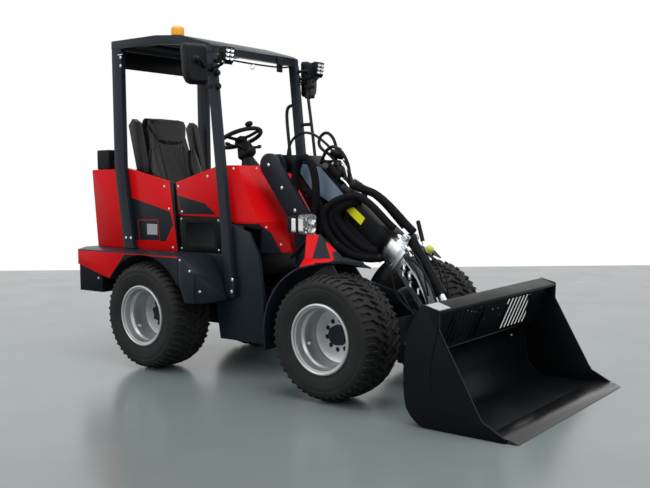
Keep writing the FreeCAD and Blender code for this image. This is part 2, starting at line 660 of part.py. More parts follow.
def seat_cushion():
    x1 = SEAT_X + SEAT_CUSHION_L / 2
    x0 = SEAT_X - SEAT_CUSHION_L / 2
    solid = box(x0, x1, -SEAT_W / 2, SEAT_W / 2, SEAT_CUSHION_Z - SEAT_CUSHION_T, SEAT_CUSHION_Z)
    return round_edges(solid, 40, lambda e: e.CenterOfMass.z > SEAT_CUSHION_Z - 1
                       or (is_along(e, V(0, 0, 1)) and e.CenterOfMass.x > SEAT_X))


def backrest_outline():
    """Front view of the backrest: wide bolsters and a narrower headrest."""
    w = SEAT_W / 2
    h = SEAT_BACK_H
    return [(-w, 0), (w, 0), (w + 10, 0.3 * h), (w - 12, 0.62 * h), (w - 75, 0.74 * h), (w - 85, 0.93 * h),
            (w - 120, h), (-w + 120, h), (-w + 85, 0.93 * h), (-w + 75, 0.74 * h), (-w + 12, 0.62 * h),
            (-w - 10, 0.3 * h)]


def seat_backrest():
    z0 = SEAT_BACK_Z
    outline = [(y, z0 + z) for y, z in backrest_outline()]
    solid = prism_x(outline, SEAT_BACK_X - SEAT_BACK_T, SEAT_BACK_X)
    return turned_y(solid, -SEAT_BACK_LEAN, SEAT_BACK_X, z0)


def seat_armrests():
    """Both armrests folded up beside the backrest, on their pivot pins."""
    arms = []
    z0 = SEAT_BACK_Z + 300
    arm = prism_y([(SEAT_BACK_X - 95, z0 - 30), (SEAT_BACK_X - 18, z0 - 30), (SEAT_BACK_X - 4, z0 + 40),
                   (SEAT_BACK_X - 4, z0 + 350), (SEAT_BACK_X - 40, z0 + 385), (SEAT_BACK_X - 95, z0 + 350)],
                  ARM_IN_Y, ARM_IN_Y + ARM_W)
    pin = pin_y(SEAT_BACK_X - 50, z0, 14, SEAT_W / 2 + 3.6, ARM_IN_Y + 2)
    arm = turned_y(fuse([arm, pin]), -SEAT_BACK_LEAN, SEAT_BACK_X, SEAT_BACK_Z)
    return pair(arm)


def steer_point(along, side=0.0):
    """Point on the column's axis, along it from the hub, and across it."""
    ax, az = WHEEL_AXIS
    return WHEEL_HUB_X + ax * along + az * side, WHEEL_HUB_Z + az * along - ax * side


def steering_column():
    def disc(along, radius, radius2, length):
        x, z = steer_point(along)
        direction = V(WHEEL_AXIS[0], 0, WHEEL_AXIS[1])
        return Part.makeCone(radius, radius2, length, V(x, 0, z), direction)
    head = disc(COLUMN_TOP - 120, 70, 34, 120)
    boot = disc(COLUMN_TOP - 210, 92, 66, 92)
    tube = disc(COLUMN_TOP - 560, 46, 40, 360)
    foot_x, foot_z = steer_point(COLUMN_TOP - 560)
    leg = rod((foot_x, 0, foot_z + 20), (foot_x + 30, 0, FLOOR_Z + SHEET - 4), 34)
    base = box(foot_x - 70, foot_x + 60, -90, 90, FLOOR_Z + SHEET, FLOOR_Z + SHEET + 14)
    stalk_x, stalk_z = steer_point(COLUMN_TOP - 60)
    right = rod((stalk_x, 0, stalk_z), (stalk_x + 30, -190, stalk_z + 30), 9)
    left = rod((stalk_x, 0, stalk_z), (stalk_x + 10, 170, stalk_z + 30), 9)
    solid = fuse([head, boot, tube, leg, base, right, left])
    return solid.common(box(-3000, 1000, -400, 400, FLOOR_Z + SHEET + SEAT_GAP, 3000))


def steering_wheel():
    ring_r = WHEEL_R - WHEEL_RIM_R
    rim_ring = Part.makeTorus(ring_r, WHEEL_RIM_R, V(0, 0, 0), V(0, 0, 1))
    hub = Part.makeCylinder(38, 40, V(0, 0, COLUMN_TOP + 0.3))
    spokes = []
    for angle in (90, 210, 330):
        end = (ring_r * cos(radians(angle)), ring_r * sin(radians(angle)), 0)
        spokes.append(rod((0, 0, -14), end, 9))
    post = rod((ring_r, 0, 0), (ring_r, 0, 48), 8)
    ball = Part.makeSphere(24, V(ring_r, 0, 62))
    solid = fuse([rim_ring, hub, post, ball] + spokes)
    solid.rotate(V(0, 0, 0), V(0, 1, 0), -WHEEL_LEAN)
    solid.translate(V(WHEEL_HUB_X, 0, WHEEL_HUB_Z))
    return solid


def cowl_loft(shrink):
    """Solid cowl between its plans, or the smaller solid inside its skin."""
    wires = []
    for z, plan in COWL_PLANS:
        if shrink:
            z += -shrink if z == COWL_PLANS[-1][0] else (-1 if z == COWL_PLANS[0][0] else 0)
        backs = [20 if shrink else 0, shrink, shrink]
        half = [(PIVOT_X + x - back, w - shrink) for (x, w), back in zip(plan, backs)]
        outline = half + [(x, -w) for x, w in reversed(half)]
        wires.append(wire_of([(x, y, z) for x, y in outline]))
    return Part.makeLoft(wires, True, True)


def front_cowl():
    """Red front cowl: creased sides, a middle strip, and a keel below."""
    below_side = prism_y([COWL_SIDE_LINE[0], COWL_SIDE_LINE[1], COWL_SIDE_LINE[2],
                          (COWL_SIDE_LINE[2][0], 700), (COWL_SIDE_LINE[0][0], 700)],
                         -BODY_HALF_W - 50, -BODY_HALF_W + 150)
    behind = prism_y([(P2_TR[0] - 137, 1500), (P2_TR[0] + SEAM, 1500), (P2_TR[0] + SEAM, P2_TR[1]),
                      (P2_BR[0] + SEAM, P2_BR[1]), (P2_BR[0] + SEAM, 700), (P2_TR[0] - 137, 700)],
                     -WIDE, WIDE)
    solid = cowl_loft(0).cut(cowl_loft(COWL_T))
    return cut(solid, [below_side, mirrored(below_side), behind])


def post_shape(points, depth, width):
    """Flat bar bent in the side view, width across, from its centre line."""
    half = depth / 2
    left = [(x - half, z) for x, z in points]
    right = [(x + half, z) for x, z in reversed(points)]
    return prism_y(left + right, POST_OUT_Y - width, POST_OUT_Y)


def rear_posts():
    post = post_shape([(REAR_POST_FOOT_X, DECK_Z + SEAT_GAP), (REAR_POST_X, REAR_POST_BEND_Z),
                       (REAR_POST_X, ROOF_REAR_Z - ROOF_BEAM_H)], REAR_POST_D, POST_W)
    foot = box(REAR_POST_FOOT_X - 60, REAR_POST_FOOT_X + 60, POST_OUT_Y - POST_W, POST_OUT_Y,
               DECK_Z + SEAT_GAP, DECK_Z + 16)
    roof = prism_y(roof_beam_outline(), POST_OUT_Y - POST_W - 1, POST_OUT_Y + 1)
    return pair(fuse([post, foot]).cut(roof))


def front_post_x(z):
    t = (z - 560.0) / (ROOF_FRONT_Z - 560.0)
    return FRONT_POST_FOOT_X + (FRONT_POST_TOP_X - FRONT_POST_FOOT_X) * t


def front_posts():
    top = ROOF_FRONT_Z - ROOF_BEAM_H
    post = post_shape([(front_post_x(560), 560), (front_post_x(top), top)], FRONT_POST_D, POST_W)
    bracket = box(FRONT_POST_FOOT_X - 40, FRONT_POST_FOOT_X + 40, BODY_HALF_W, POST_OUT_Y, 520, 640)
    roof = prism_y(roof_beam_outline(), POST_OUT_Y - POST_W - 1, POST_OUT_Y + 1)
    return pair(fuse([post, bracket]).cut(roof))


def roof_beam_outline():
    """Side view of a roof beam: straight up to the crown, then falling forward."""
    rear_x = REAR_POST_X - REAR_POST_D / 2
    front_x = front_post_x(ROOF_FRONT_Z) + FRONT_POST_D / 2
    top = [(rear_x, ROOF_REAR_Z), (ROOF_ARCH_X - 100, ROOF_ARCH_Z + 8), (ROOF_ARCH_X + 150, ROOF_ARCH_Z - 18),
           (front_x - 40, ROOF_FRONT_Z + 8), (front_x, ROOF_FRONT_Z - 12)]
    low = [(x, z - ROOF_BEAM_H) for x, z in top]
    return top + list(reversed(low))


def canopy_roof():
    beams = pair(prism_y(roof_beam_outline(), POST_OUT_Y - POST_W, POST_OUT_Y))
    inner = POST_OUT_Y - POST_W
    rear_x = REAR_POST_X - REAR_POST_D / 2
    front_x = front_post_x(ROOF_FRONT_Z)
    crosses = [box(rear_x, rear_x + 60, -inner, inner, ROOF_REAR_Z - ROOF_BEAM_H, ROOF_REAR_Z - 6),
               box(front_x - 20, front_x + 25, -inner, inner, ROOF_FRONT_Z - ROOF_BEAM_H, ROOF_FRONT_Z - 6)]
    tube = pin_y(rear_x + 230, ROOF_REAR_Z - 42, 24, -inner, inner)
    outline = roof_beam_outline()
    top = outline[:5]
    skin = [(x, z + ROOF_SKIN) for x, z in top] + [(x, z) for x, z in reversed(top)]
    panel = prism_y(skin, -POST_OUT_Y + 8, POST_OUT_Y - 8)
    return fuse(beams + crosses + [tube, panel])


def rear_visor():
    """Flat black plate that hangs from the rear cross beam."""
    x = REAR_POST_X - REAR_POST_D / 2 + 20
    z1 = ROOF_REAR_Z - ROOF_BEAM_H
    return box(x, x + 6, -POST_OUT_Y + POST_W + 3, POST_OUT_Y - POST_W - 3, z1 - 130, z1 - 0.3)


def mirrors():
    """Door-type mirrors on arms from the front posts."""
    z = 2040.0
    x = front_post_x(z)
    shell = box(x - 35, x + 45, POST_OUT_Y + 60, POST_OUT_Y + 225, z - 130, z + 130)
    shell = round_edges(shell, 26, lambda e: True)
    arm = rod((x, POST_OUT_Y, z), (x + 5, POST_OUT_Y + 70, z), 9)
    clamp = box(x - 40, x + 40, POST_OUT_Y, POST_OUT_Y + 14, z - 24, z + 24)
    return pair(cut(fuse([shell, arm, clamp]), front_posts()))


def work_lamps():
    z = 2105.0
    x = front_post_x(z) + FRONT_POST_D / 2
    lamp = box(x + 38, x + 80, POST_OUT_Y - 80, POST_OUT_Y + 10, z - 45, z + 45)
    arm = rod((x, POST_OUT_Y - 22, z - 40), (x + 60, POST_OUT_Y - 22, z - 40), 8)
    foot = box(x, x + 10, POST_OUT_Y - 40, POST_OUT_Y - 5, z - 60, z - 20)
    return pair(cut(fuse([lamp, arm, foot]), front_posts()))


def beacon():
    x, y = ROOF_ARCH_X - 60, -BODY_HALF_W + 100
    z = ROOF_ARCH_Z + 6
    base = Part.makeCylinder(46, 32, V(x, y, z - 10))
    dome = Part.makeCylinder(40, 62, V(x, y, z + 22))
    dome = round_edges(dome, 16, lambda e: e.CenterOfMass.z > z + 80)
    return fuse([base, dome]).cut(canopy_roof())


def grab_rails():
    """Grab rail inside the left front post and a guard bar outside it."""
    y = POST_OUT_Y - 22
    x = front_post_x(1650)
    rail = tube_path([(x - 20, y, 1700), (x - 130, y, 1700), (x - 110, y, 1130), (x + 20, y, 1130)], 11, 50)
    bar = tube_path([(front_post_x(1980) + 20, y, 1980), (front_post_x(1980) + 110, y, 1940),
                     (front_post_x(1100) + 110, y, 1120), (front_post_x(1100) + 20, y, 1080)], 9, 40)
    return [cut(shape, front_posts()) for shape in (rail, bar)]


def air_box():
    shell = box(HOOD_REAR_LOW_X - 26, HOOD_REAR_LOW_X + 119, -BODY_HALF_W + 28, -BODY_HALF_W + 128,
                HOOD_TOP_Z + SEAT_GAP, HOOD_TOP_Z + 148)
    return round_edges(shell, 12, lambda e: e.CenterOfMass.z > HOOD_TOP_Z + 20)


# ---- Front frame ----


def front_chassis():
    """Fabricated front frame between the tower plates: hitch boss, floor and walls."""
    boss_z = HITCH_Z0 + HITCH_EAR_T + HITCH_GAP
    boss = Part.makeCylinder(HITCH_BOSS_R, HITCH_BOSS_H, V(PIVOT_X, 0, boss_z))
    tongue = box(PIVOT_X, CHASSIS_X0 + 10, -HITCH_BOSS_R + 8, HITCH_BOSS_R - 8, boss_z, boss_z + HITCH_BOSS_H)
    bore = Part.makeCylinder(HITCH_PIN_R + PIN_GAP, 400, V(PIVOT_X, 0, boss_z - 100))
    floor = box(CHASSIS_X0, CHASSIS_X1, -TOWER_IN_Y, TOWER_IN_Y, CHASSIS_Z0, CHASSIS_Z0 + SHEET)
    back = box(CHASSIS_X0, CHASSIS_X0 + 16, -TOWER_IN_Y, TOWER_IN_Y, CHASSIS_Z0, 620)
    front = box(CHASSIS_X1 - 16, CHASSIS_X1, -TOWER_IN_Y, TOWER_IN_Y, CHASSIS_Z0, 430)
    shelf_z = LIFT_BASE_Z - 62
    shelf = box(CHASSIS_X0, LIFT_BASE_X + 135, -TOWER_IN_Y, TOWER_IN_Y, shelf_z, shelf_z + 14)
    ears = []
    for y0, y1 in ((48, 62), (-62, -48)):
        ear = box(LIFT_BASE_X - 36, LIFT_BASE_X + 36, y0, y1, shelf_z + 12, LIFT_BASE_Z)
        tip = pin_y(LIFT_BASE_X, LIFT_BASE_Z, 36, y0, y1)
        ears += [ear, tip]
    lift_pin = pin_y(LIFT_BASE_X, LIFT_BASE_Z, CYLINDER_PIN_R, -62, 62)
    return fuse([boss, tongue, floor, back, front, shelf, lift_pin] + ears).cut(bore)


def tower_plate(side):
    """One plate of the boom tower, with the boss that holds the boom's pin."""
    x, z = BOOM_PIVOT_X, BOOM_PIVOT_Z
    outline = [(CHASSIS_X0, CHASSIS_Z0), (CHASSIS_X1, CHASSIS_Z0), (CHASSIS_X1, 430), (60, CHASSIS_Z1),
               (-250, 640), (-440, 880), (-690, 1290), (x + 78, z + 30), (x + 40, z + 72), (x - 40, z + 72),
               (x - 78, z + 30), (x - 80, z - 20), (-640, 1020), (CHASSIS_X0, 720)]
    y0, y1 = sorted((side * TOWER_IN_Y, side * TOWER_OUT_Y))
    plate = prism_y(outline, y0, y1)
    boss = pin_y(x, z, BOOM_PIN_R + 8, side * TOWER_OUT_Y, side * (TOWER_OUT_Y + 4))
    tie_down = pin_y(TIE_DOWN_X, TIE_DOWN_Z, TIE_DOWN_R, y0 - 1, y1 + 1)
    axle_way = pin_y(0, AXLE_Z, AXLE_TUBE_R + 0.2, -HUB_FACE_Y, HUB_FACE_Y)
    return cut(fuse([plate, boss]), [axle_way, tie_down])


def boom_tower():
    """The tower's plates, the boom's pin and, on the right, the ears of the steering rod."""
    ears = [box(STEER_PIN_X - 24, STEER_PIN_X + 24, STEER_Y - 24, -TOWER_OUT_Y + 1, z0, z0 + 14)
            for z0 in (STEER_Z - 44, STEER_Z + 30)]
    pin = pin_y(BOOM_PIVOT_X, BOOM_PIVOT_Z, BOOM_PIN_R, -TOWER_IN_Y, TOWER_IN_Y)
    return [fuse([tower_plate(-1)] + ears), tower_plate(1), pin]


def front_fenders():
    """Guards over the front tyres: an arched shell under a folded body, cut off aslant in front."""
    r0, r1 = FENDER_R, FENDER_R + FENDER_T
    strip = wire_of([(r, y, 0) for y, r in ((FENDER_OUT_Y, r0), (FENDER_OUT_Y, r1),
                                            (FENDER_IN_Y, r1), (FENDER_IN_Y, r0))])
    shell = Part.Face(strip).revolve(V(0, 0, 0), V(0, 1, 0), 122)
    shell.rotate(V(0, 0, 0), V(0, 1, 0), -182)
    shell.translate(V(0, 0, AXLE_Z))
    fold_y, fold_z = FENDER_FOLD
    rear_x, corner_x, front_x, tip_x = FENDER_BODY_X
    body = prism_x([(FENDER_IN_Y, FENDER_TOP_Z), (FENDER_IN_Y + 8, FENDER_TOP_Z), (fold_y, fold_z),
                    (FENDER_OUT_Y, FENDER_LEDGE_Z), (FENDER_OUT_Y, AXLE_Z), (FENDER_IN_Y, AXLE_Z)],
                   rear_x - 60, tip_x + 14)
    arch = pin_y(0, AXLE_Z, (r0 + r1) / 2, FENDER_IN_Y - 1, FENDER_OUT_Y + 1)
    above = prism_y([(rear_x + 68, FENDER_TOP_Z + 1), (front_x, fold_z + 8), (tip_x, fold_z - 17),
                     (tip_x + 60, fold_z - 17), (tip_x + 60, FENDER_TOP_Z + 1)], 0, WIDE)
    behind = prism_y([(rear_x - 60, FENDER_TOP_Z + 1), (rear_x - 40, FENDER_TOP_Z + 1), (rear_x, fold_z),
                      (rear_x, AXLE_Z - 1), (rear_x - 60, AXLE_Z - 1)], 0, WIDE)
    corner = prism_z([(rear_x, fold_y), (corner_x, FENDER_OUT_Y), (corner_x, WIDE), (rear_x - 60, WIDE),
                      (rear_x - 60, fold_y)], AXLE_Z - 1, FENDER_TOP_Z + 1)
    ahead = prism_z([(corner_x, FENDER_OUT_Y + 1), (0, fold_y + 30), (tip_x, FENDER_IN_Y + 5),
                     (tip_x, FENDER_IN_Y - 1), (tip_x + 400, FENDER_IN_Y - 1), (tip_x + 400, WIDE),
                     (corner_x, WIDE)], 0, FENDER_TOP_Z + 1)
    body = cut(body, [arch, above, behind, corner, ahead])
    arm = prism_z([(-400, TOWER_OUT_Y), (-340, TOWER_OUT_Y), (rear_x + 47, FENDER_IN_Y + 5),
                   (rear_x - 13, FENDER_IN_Y + 5)], 735, 765)
    flap = box(-r1, -r0 - 2, FLAP_IN_Y, FENDER_OUT_Y - 8, FLAP_Z0, AXLE_Z + 70)
    return pair(fuse([shell.cut(ahead), body, arm, flap]))


def tower_covers():
    """Long rounded covers down both sides of the tower."""
    foot = (-545.0, 1062.0)
    run = V(foot[0] - BOOM_PIVOT_X, 0, foot[1] - BOOM_PIVOT_Z)
    length = run.Length
    angle = degrees(atan2(-run.z, run.x))
    body = box(0, length, COVER_Y0, COVER_Y1, -COVER_R, COVER_R)
    tail = prism_y([(length - 1, -COVER_R), (length + 30, -COVER_R), (length + 62, COVER_R),
                    (length - 1, COVER_R)], COVER_Y0, COVER_Y1)
    head = pin_y(0, 0, COVER_R, COVER_Y0, COVER_Y1)
    spacer = pin_y(60, 0, 24, TOWER_OUT_Y, COVER_Y0 + 1)
    spacer2 = pin_y(length - 20, 0, 20, TOWER_OUT_Y, COVER_Y0 + 1)
    solid = fuse([body, tail, head, spacer, spacer2])
    solid.rotate(V(0, 0, 0), V(0, 1, 0), angle)
    solid.translate(V(BOOM_PIVOT_X, 0, BOOM_PIVOT_Z))
    return pair(solid)


def headlamps():
    """Twin-lens lamps on short brackets from the tower covers' feet."""
    body = box(-455, -285, 310, 415, 958, 1062)
    body = round_edges(body, 22, lambda e: is_along(e, V(1, 0, 0)))
    arm = box(-530, -440, COVER_Y1, 330, 1036, 1058)
    return pair(fuse([body, arm]))


# ---- Boom ----

def boom_outer():
    half = BOOM_W / 2
    n0, n1 = BOOM_RISE, BOOM_RISE + BOOM_H
    w = BOOM_WALL
    tube = prism_y([(BOOM_S0, n0), (BOOM_SHOULDER_S, n1), (BOOM_S1, n1), (BOOM_S1, n0)], -half, half)
    hollow = prism_y([(BOOM_S0 + 40, n0 + w), (BOOM_SHOULDER_S + 6, n1 - w), (BOOM_S1 + 1, n1 - w),
                      (BOOM_S1 + 1, n0 + w)], -half + w, half - w)
    tube = tube.cut(hollow)
    cheeks = []
    for y0, y1 in ((half - 1, TOWER_IN_Y - 0.5), (-TOWER_IN_Y + 0.5, -half + 1)):
        cheek = prism_y([(-40, n0 + 10), (-58, 0), (-30, -45), (30, -45), (150, n0 + 2), (150, n0 + 90),
                         (66, n0 + 86)], y0, y1)
        cheeks.append(cheek)
    lug = prism_y([(-46, n0 + 1), (-46, -10), (-20, -46), (20, -46), (90, n0 + 1)], -half, half)
    bore = pin_y(0, 0, BOOM_PIN_R + PIN_GAP, -400, 400)
    ears = []
    eye_out = 24 + EYE_GAP
    for y0, y1 in ((eye_out, eye_out + 14), (-eye_out - 14, -eye_out)):
        ear = prism_y([(LIFT_PIN_S - 60, n0 + 1), (LIFT_PIN_S - 30, LIFT_PIN_N),
                       (LIFT_PIN_S + 30, LIFT_PIN_N), (LIFT_PIN_S + 60, n0 + 1)], y0, y1)
        ears += [ear, pin_y(LIFT_PIN_S, LIFT_PIN_N, 30, y0, y1)]
    collar = box(BOOM_S1 - 90, BOOM_S1, -half - 7, half + 7, n0 - 7, n1 + 7)
    collar = collar.cut(box(BOOM_S1 - 100, BOOM_S1 + 1, -half, half, n0, n1))
    solid = fuse([tube, lug, collar] + cheeks + ears).cut(bore)
    return on_boom(solid)


def boom_wear_pads():
    """Four pads inside the outer tube's mouth that guide the inner boom."""
    half = BOOM_W / 2 - BOOM_WALL
    n0, n1 = BOOM_RISE + BOOM_WALL, BOOM_RISE + BOOM_H - BOOM_WALL
    pads = []
    thick = INNER_CLEARANCE - PAD_GAP
    s0, s1 = BOOM_S1 - 80, BOOM_S1 - 10
    pads.append(box(s0, s1, -half + 20, half - 20, n0, n0 + thick))
    pads.append(box(s0, s1, -half + 20, half - 20, n1 - thick, n1))
    pads.append(box(s0, s1, half - thick, half, n0 + 24, n1 - 24))
    pads.append(box(s0, s1, -half, -half + thick, n0 + 24, n1 - 24))
    return [on_boom(p) for p in pads]


def boom_hoses():
    """Fabric-sleeved hose bundles lying on top of the outer boom."""
    n1 = BOOM_RISE + BOOM_H
    right = tube_path([(200, -70, n1 + 60), (330, -70, n1 + 62), (620, -62, n1 + 34),
                       (BOOM_S1 - 110, -52, n1 + 36)], 30, 200)
    left = tube_path([(240, 30, n1 + 72), (420, 30, n1 + 74), (660, 24, n1 + 38),
                      (BOOM_S1 - 100, 22, n1 + 37)], 32, 200)
    clips = [box(s, s + 24, -74, 54, n1, n1 + 8) for s in (640, 830)]
    return [on_boom(fuse([right, left] + clips))]


def boom_inner():
    half = BOOM_W / 2 - BOOM_WALL - INNER_CLEARANCE
    n0 = BOOM_RISE + BOOM_WALL + INNER_CLEARANCE
    n1 = BOOM_RISE + BOOM_H - BOOM_WALL - INNER_CLEARANCE
    tube = box(INNER_S0, INNER_S1, -half, half, n0, n1)
    tube = tube.cut(box(INNER_S0 - 1, INNER_S1 - 12, -half + 8, half - 8, n0 + 8, n1 - 8))
    flange = box(INNER_S1 - 8, INNER_S1 + 8, -half - 16, half + 16, n0 - 16, n1 + 2)
    nose = []
    outline = [(INNER_S1 - 40, n1), (INNER_S1 + 4, n1), (INNER_S1 + 12, 140), (1290, 104), (1500, 4),
               (TOOL_PIVOT_S + 30, -88),
               (TOOL_PIVOT_S + 42, TOOL_PIVOT_N), (TOOL_PIVOT_S + 28, TOOL_PIVOT_N - 34),
               (TOOL_PIVOT_S - 10, TOOL_PIVOT_N - 42), (1400, -24), (INNER_S1 + 20, n0 - 14),
               (INNER_S1 - 40, n0)]
    for y0, y1 in ((NOSE_HALF_W - NOSE_T, NOSE_HALF_W), (-NOSE_HALF_W, -NOSE_HALF_W + NOSE_T)):
        nose.append(prism_y(outline, y0, y1))
    web = prism_y([(INNER_S1 - 1, n0 + 4), (INNER_S1 - 1, n0 - 10), (1400, -20), (TOOL_PIVOT_S - 60, -96),
                   (TOOL_PIVOT_S - 60, -84), (1400, -6)], -NOSE_HALF_W + NOSE_T - 1, NOSE_HALF_W - NOSE_T + 1)
    ears = []
    for y0, y1 in ((36 + EYE_GAP, 48 + EYE_GAP), (-48 - EYE_GAP, -36 - EYE_GAP)):
        ear = prism_y([(TILT_BASE_S - 40, n1 - 1), (TILT_BASE_S - 26, TILT_BASE_N),
                       (TILT_BASE_S + 26, TILT_BASE_N), (TILT_BASE_S + 40, n1 - 1)], y0, y1)
        ears += [ear, pin_y(TILT_BASE_S, TILT_BASE_N, 26, y0, y1)]
    pin = pin_y(TILT_BASE_S, TILT_BASE_N, CYLINDER_PIN_R, -48 - EYE_GAP, 48 + EYE_GAP)
    tool_pin = pin_y(TOOL_PIVOT_S, TOOL_PIVOT_N, 20, -NOSE_HALF_W - 30, NOSE_HALF_W + 30)
    return on_boom(fuse([tube, flange, web, pin, tool_pin] + nose + ears))


def hydraulic_coupler():
    """Quick coupler block on the nose, with its hand lever and cap."""
    n1 = BOOM_RISE + BOOM_H - BOOM_WALL - INNER_CLEARANCE
    y0 = NOSE_HALF_W
    bracket = box(INNER_S1 + 9, INNER_S1 + 150, y0, y0 + 8, 60, 190)
    block = box(INNER_S1 + 20, INNER_S1 + 110, y0 + 8, y0 + 92, 120, 190)
    cap = rod((INNER_S1 + 108, y0 + 50, 160), (INNER_S1 + 150, y0 + 50, 170), 24)
    lever = rod((INNER_S1 + 40, y0 + 84, 170), (INNER_S1 - 40, y0 + 84, 290), 8)
    grip = rod((INNER_S1 - 40, y0 + 84, 290), (INNER_S1 - 95, y0 + 84, 372), 13)
    return on_boom(fuse([bracket, block, cap, lever, grip]))


# ---- Tool carrier and bucket ----

TOOL_X, TOOL_Z = boom_point(TOOL_PIVOT_S, TOOL_PIVOT_N)
TILT_X, TILT_Z = boom_point(TILT_PIN_S, TILT_PIN_N)


def tool_carrier():
    """Hitch frame: two pairs of ears on a plate that the bucket hooks over."""
    face = CARRIER_FACE_X
    plate = box(face - 16, face, -CARRIER_HALF_W, CARRIER_HALF_W, 200, 500)
    bar = pin_y(face - 20, 498, 16, -CARRIER_HALF_W, CARRIER_HALF_W)
    rod_way = [box(face - 60, face + 1, -24 - EYE_GAP, 24 + EYE_GAP, 300, 520),
               box(face - 60, face + 1, -60, 60, 482, 520)]
    low = box(face - 60, face, -CARRIER_HALF_W, CARRIER_HALF_W, 172, 202)
    ears = []
    ear_in = NOSE_HALF_W + 5
    tool = [(TOOL_X - 32, TOOL_Z - 20), (TOOL_X - 10, TOOL_Z - 34), (face - 8, 175), (face - 8, 420),
            (TOOL_X + 20, TOOL_Z + 32), (TOOL_X - 26, TOOL_Z + 24)]
    for y0, y1 in ((ear_in, ear_in + 18), (-ear_in - 18, -ear_in)):
        ears.append(prism_y(tool, y0, y1))
    upper = [(TILT_X - 30, TILT_Z - 16), (TILT_X - 14, TILT_Z - 28), (face - 8, 330), (face - 8, 480),
             (TILT_X - 4, TILT_Z + 30), (TILT_X - 30, TILT_Z + 10)]
    for y0, y1 in ((24 + EYE_GAP, 38 + EYE_GAP), (-38 - EYE_GAP, -24 - EYE_GAP)):
        ears.append(prism_y(upper, y0, y1))
    solid = fuse([plate, bar, low] + ears)
    return cut(solid, rod_way + [pin_y(TOOL_X, TOOL_Z, 20 + PIN_GAP, -400, 400)])


def bucket_side_outline():
    z0 = BUCKET_FLOOR_GAP
    return [(737, z0), (FRONT_REACH - 62, z0), (FRONT_REACH - 62, 20), (1069, 86), (826, 521),
            (829, 614), (735, 643), (722, 641), (644, 504), (613, 300), (617, 150), (631, 88), (680, 30)]


def bucket_shell_outline():
    """Outer line of the bent floor and back, then its inner line in reverse."""
    t = BUCKET_PLATE
    z0 = BUCKET_FLOOR_GAP
    outer = [(FRONT_REACH - BUCKET_EDGE_L + 20, z0), (745, z0), (686, 32), (640, 92), (623, 160), (621, 300),
             (648, 420), (700, 470)]
    inner = [(700 + t, 466), (656, 412), (621 + t, 298), (623 + t, 163), (648, 96), (691, 40), (748, z0 + t),
             (FRONT_REACH - BUCKET_EDGE_L + 20, z0 + t)]
    return outer + inner


def bucket():
    half = BUCKET_W / 2
    shell = prism_y(bucket_shell_outline(), -half + 1, half - 1)
    upper = prism_y([(692, 468), (700, 462), (800, 600), (792, 606)], -half + 1, half - 1)
    lip = prism_y([(735, 643), (829, 614), (829, 590), (802, 598), (796, 610), (730, 630)],
                  -half + 1, half - 1)
    sides = []
    for y0, y1 in ((half - BUCKET_SIDE, half), (-half, -half + BUCKET_SIDE)):
        sides.append(prism_y(bucket_side_outline(), y0, y1))
    hooks = []
    face = CARRIER_FACE_X
    for y0, y1 in ((180, 200), (-200, -180)):
        back = face + SEAT_GAP
        hook = prism_y([(back, 180), (back, 519), (face - 42, 519), (face - 42, 548), (face + 30, 548),
                        (690, 540), (660, 420), (626, 300), (628, 150), (650, 90)], y0, y1)
        hooks.append(hook)
    slots = []
    for group in (-1, 1):
        for i in range(SLOT_COUNT):
            y = group * (SLOT_FIRST_Y + i * SLOT_PITCH)
            slot = box(600, 900, y, y + SLOT_W, 478, 592)
            slots.append(slot)
    solid = fuse([shell, upper, lip] + sides + hooks)
    window = prism_y([(690, 478), (712, 470), (806, 592), (784, 600)], -half, half)
    return cut(solid, [s.common(window) for s in slots])


def bucket_edge():
    """Bolt-on cutting edge, bevelled to its front."""
    half = BUCKET_W / 2 - BUCKET_SIDE - 0.3
    z0 = BUCKET_FLOOR_GAP
    x0 = FRONT_REACH - BUCKET_EDGE_L + 20.3
    outline = [(x0, z0), (FRONT_REACH, z0), (FRONT_REACH - 46, z0 + BUCKET_EDGE_T), (x0, z0 + BUCKET_EDGE_T)]
    return prism_y(outline, -half, half)


# ---- Cylinders ----

def lift_cylinder():
    base = (LIFT_BASE_X, LIFT_BASE_Z)
    tip = boom_point(LIFT_PIN_S, LIFT_PIN_N)
    barrel = cylinder_barrel(base, tip, LIFT_BARREL_R, LIFT_BARREL_L, 34, 45, LIFT_ROD_R)
    return barrel, cylinder_rod(base, tip, 90, LIFT_ROD_R, 30, 24)


def tilt_cylinder():
    base = boom_point(TILT_BASE_S, TILT_BASE_N)
    tip = (TILT_X, TILT_Z)
    barrel = cylinder_barrel(base, tip, TILT_BARREL_R, TILT_BARREL_L, 26, 36, TILT_ROD_R)
    return barrel, cylinder_rod(base, tip, 180, TILT_ROD_R, 25, 24)


def steer_cylinder():
    base = (STEER_BASE_X, -STEER_Y)
    tip = (STEER_PIN_X, -STEER_Y)
    barrel = cylinder_barrel(base, tip, STEER_BARREL_R, STEER_BARREL_L, 24, 27, STEER_ROD_R)
    bar = cylinder_rod(base, tip, 215, STEER_ROD_R, 22, 26)
    placed = []
    for shape in (barrel, bar):
        shape.rotate(V(0, 0, 0), V(1, 0, 0), 90)
        shape.translate(V(0, 0, STEER_Z))
        placed.append(shape)
    return placed


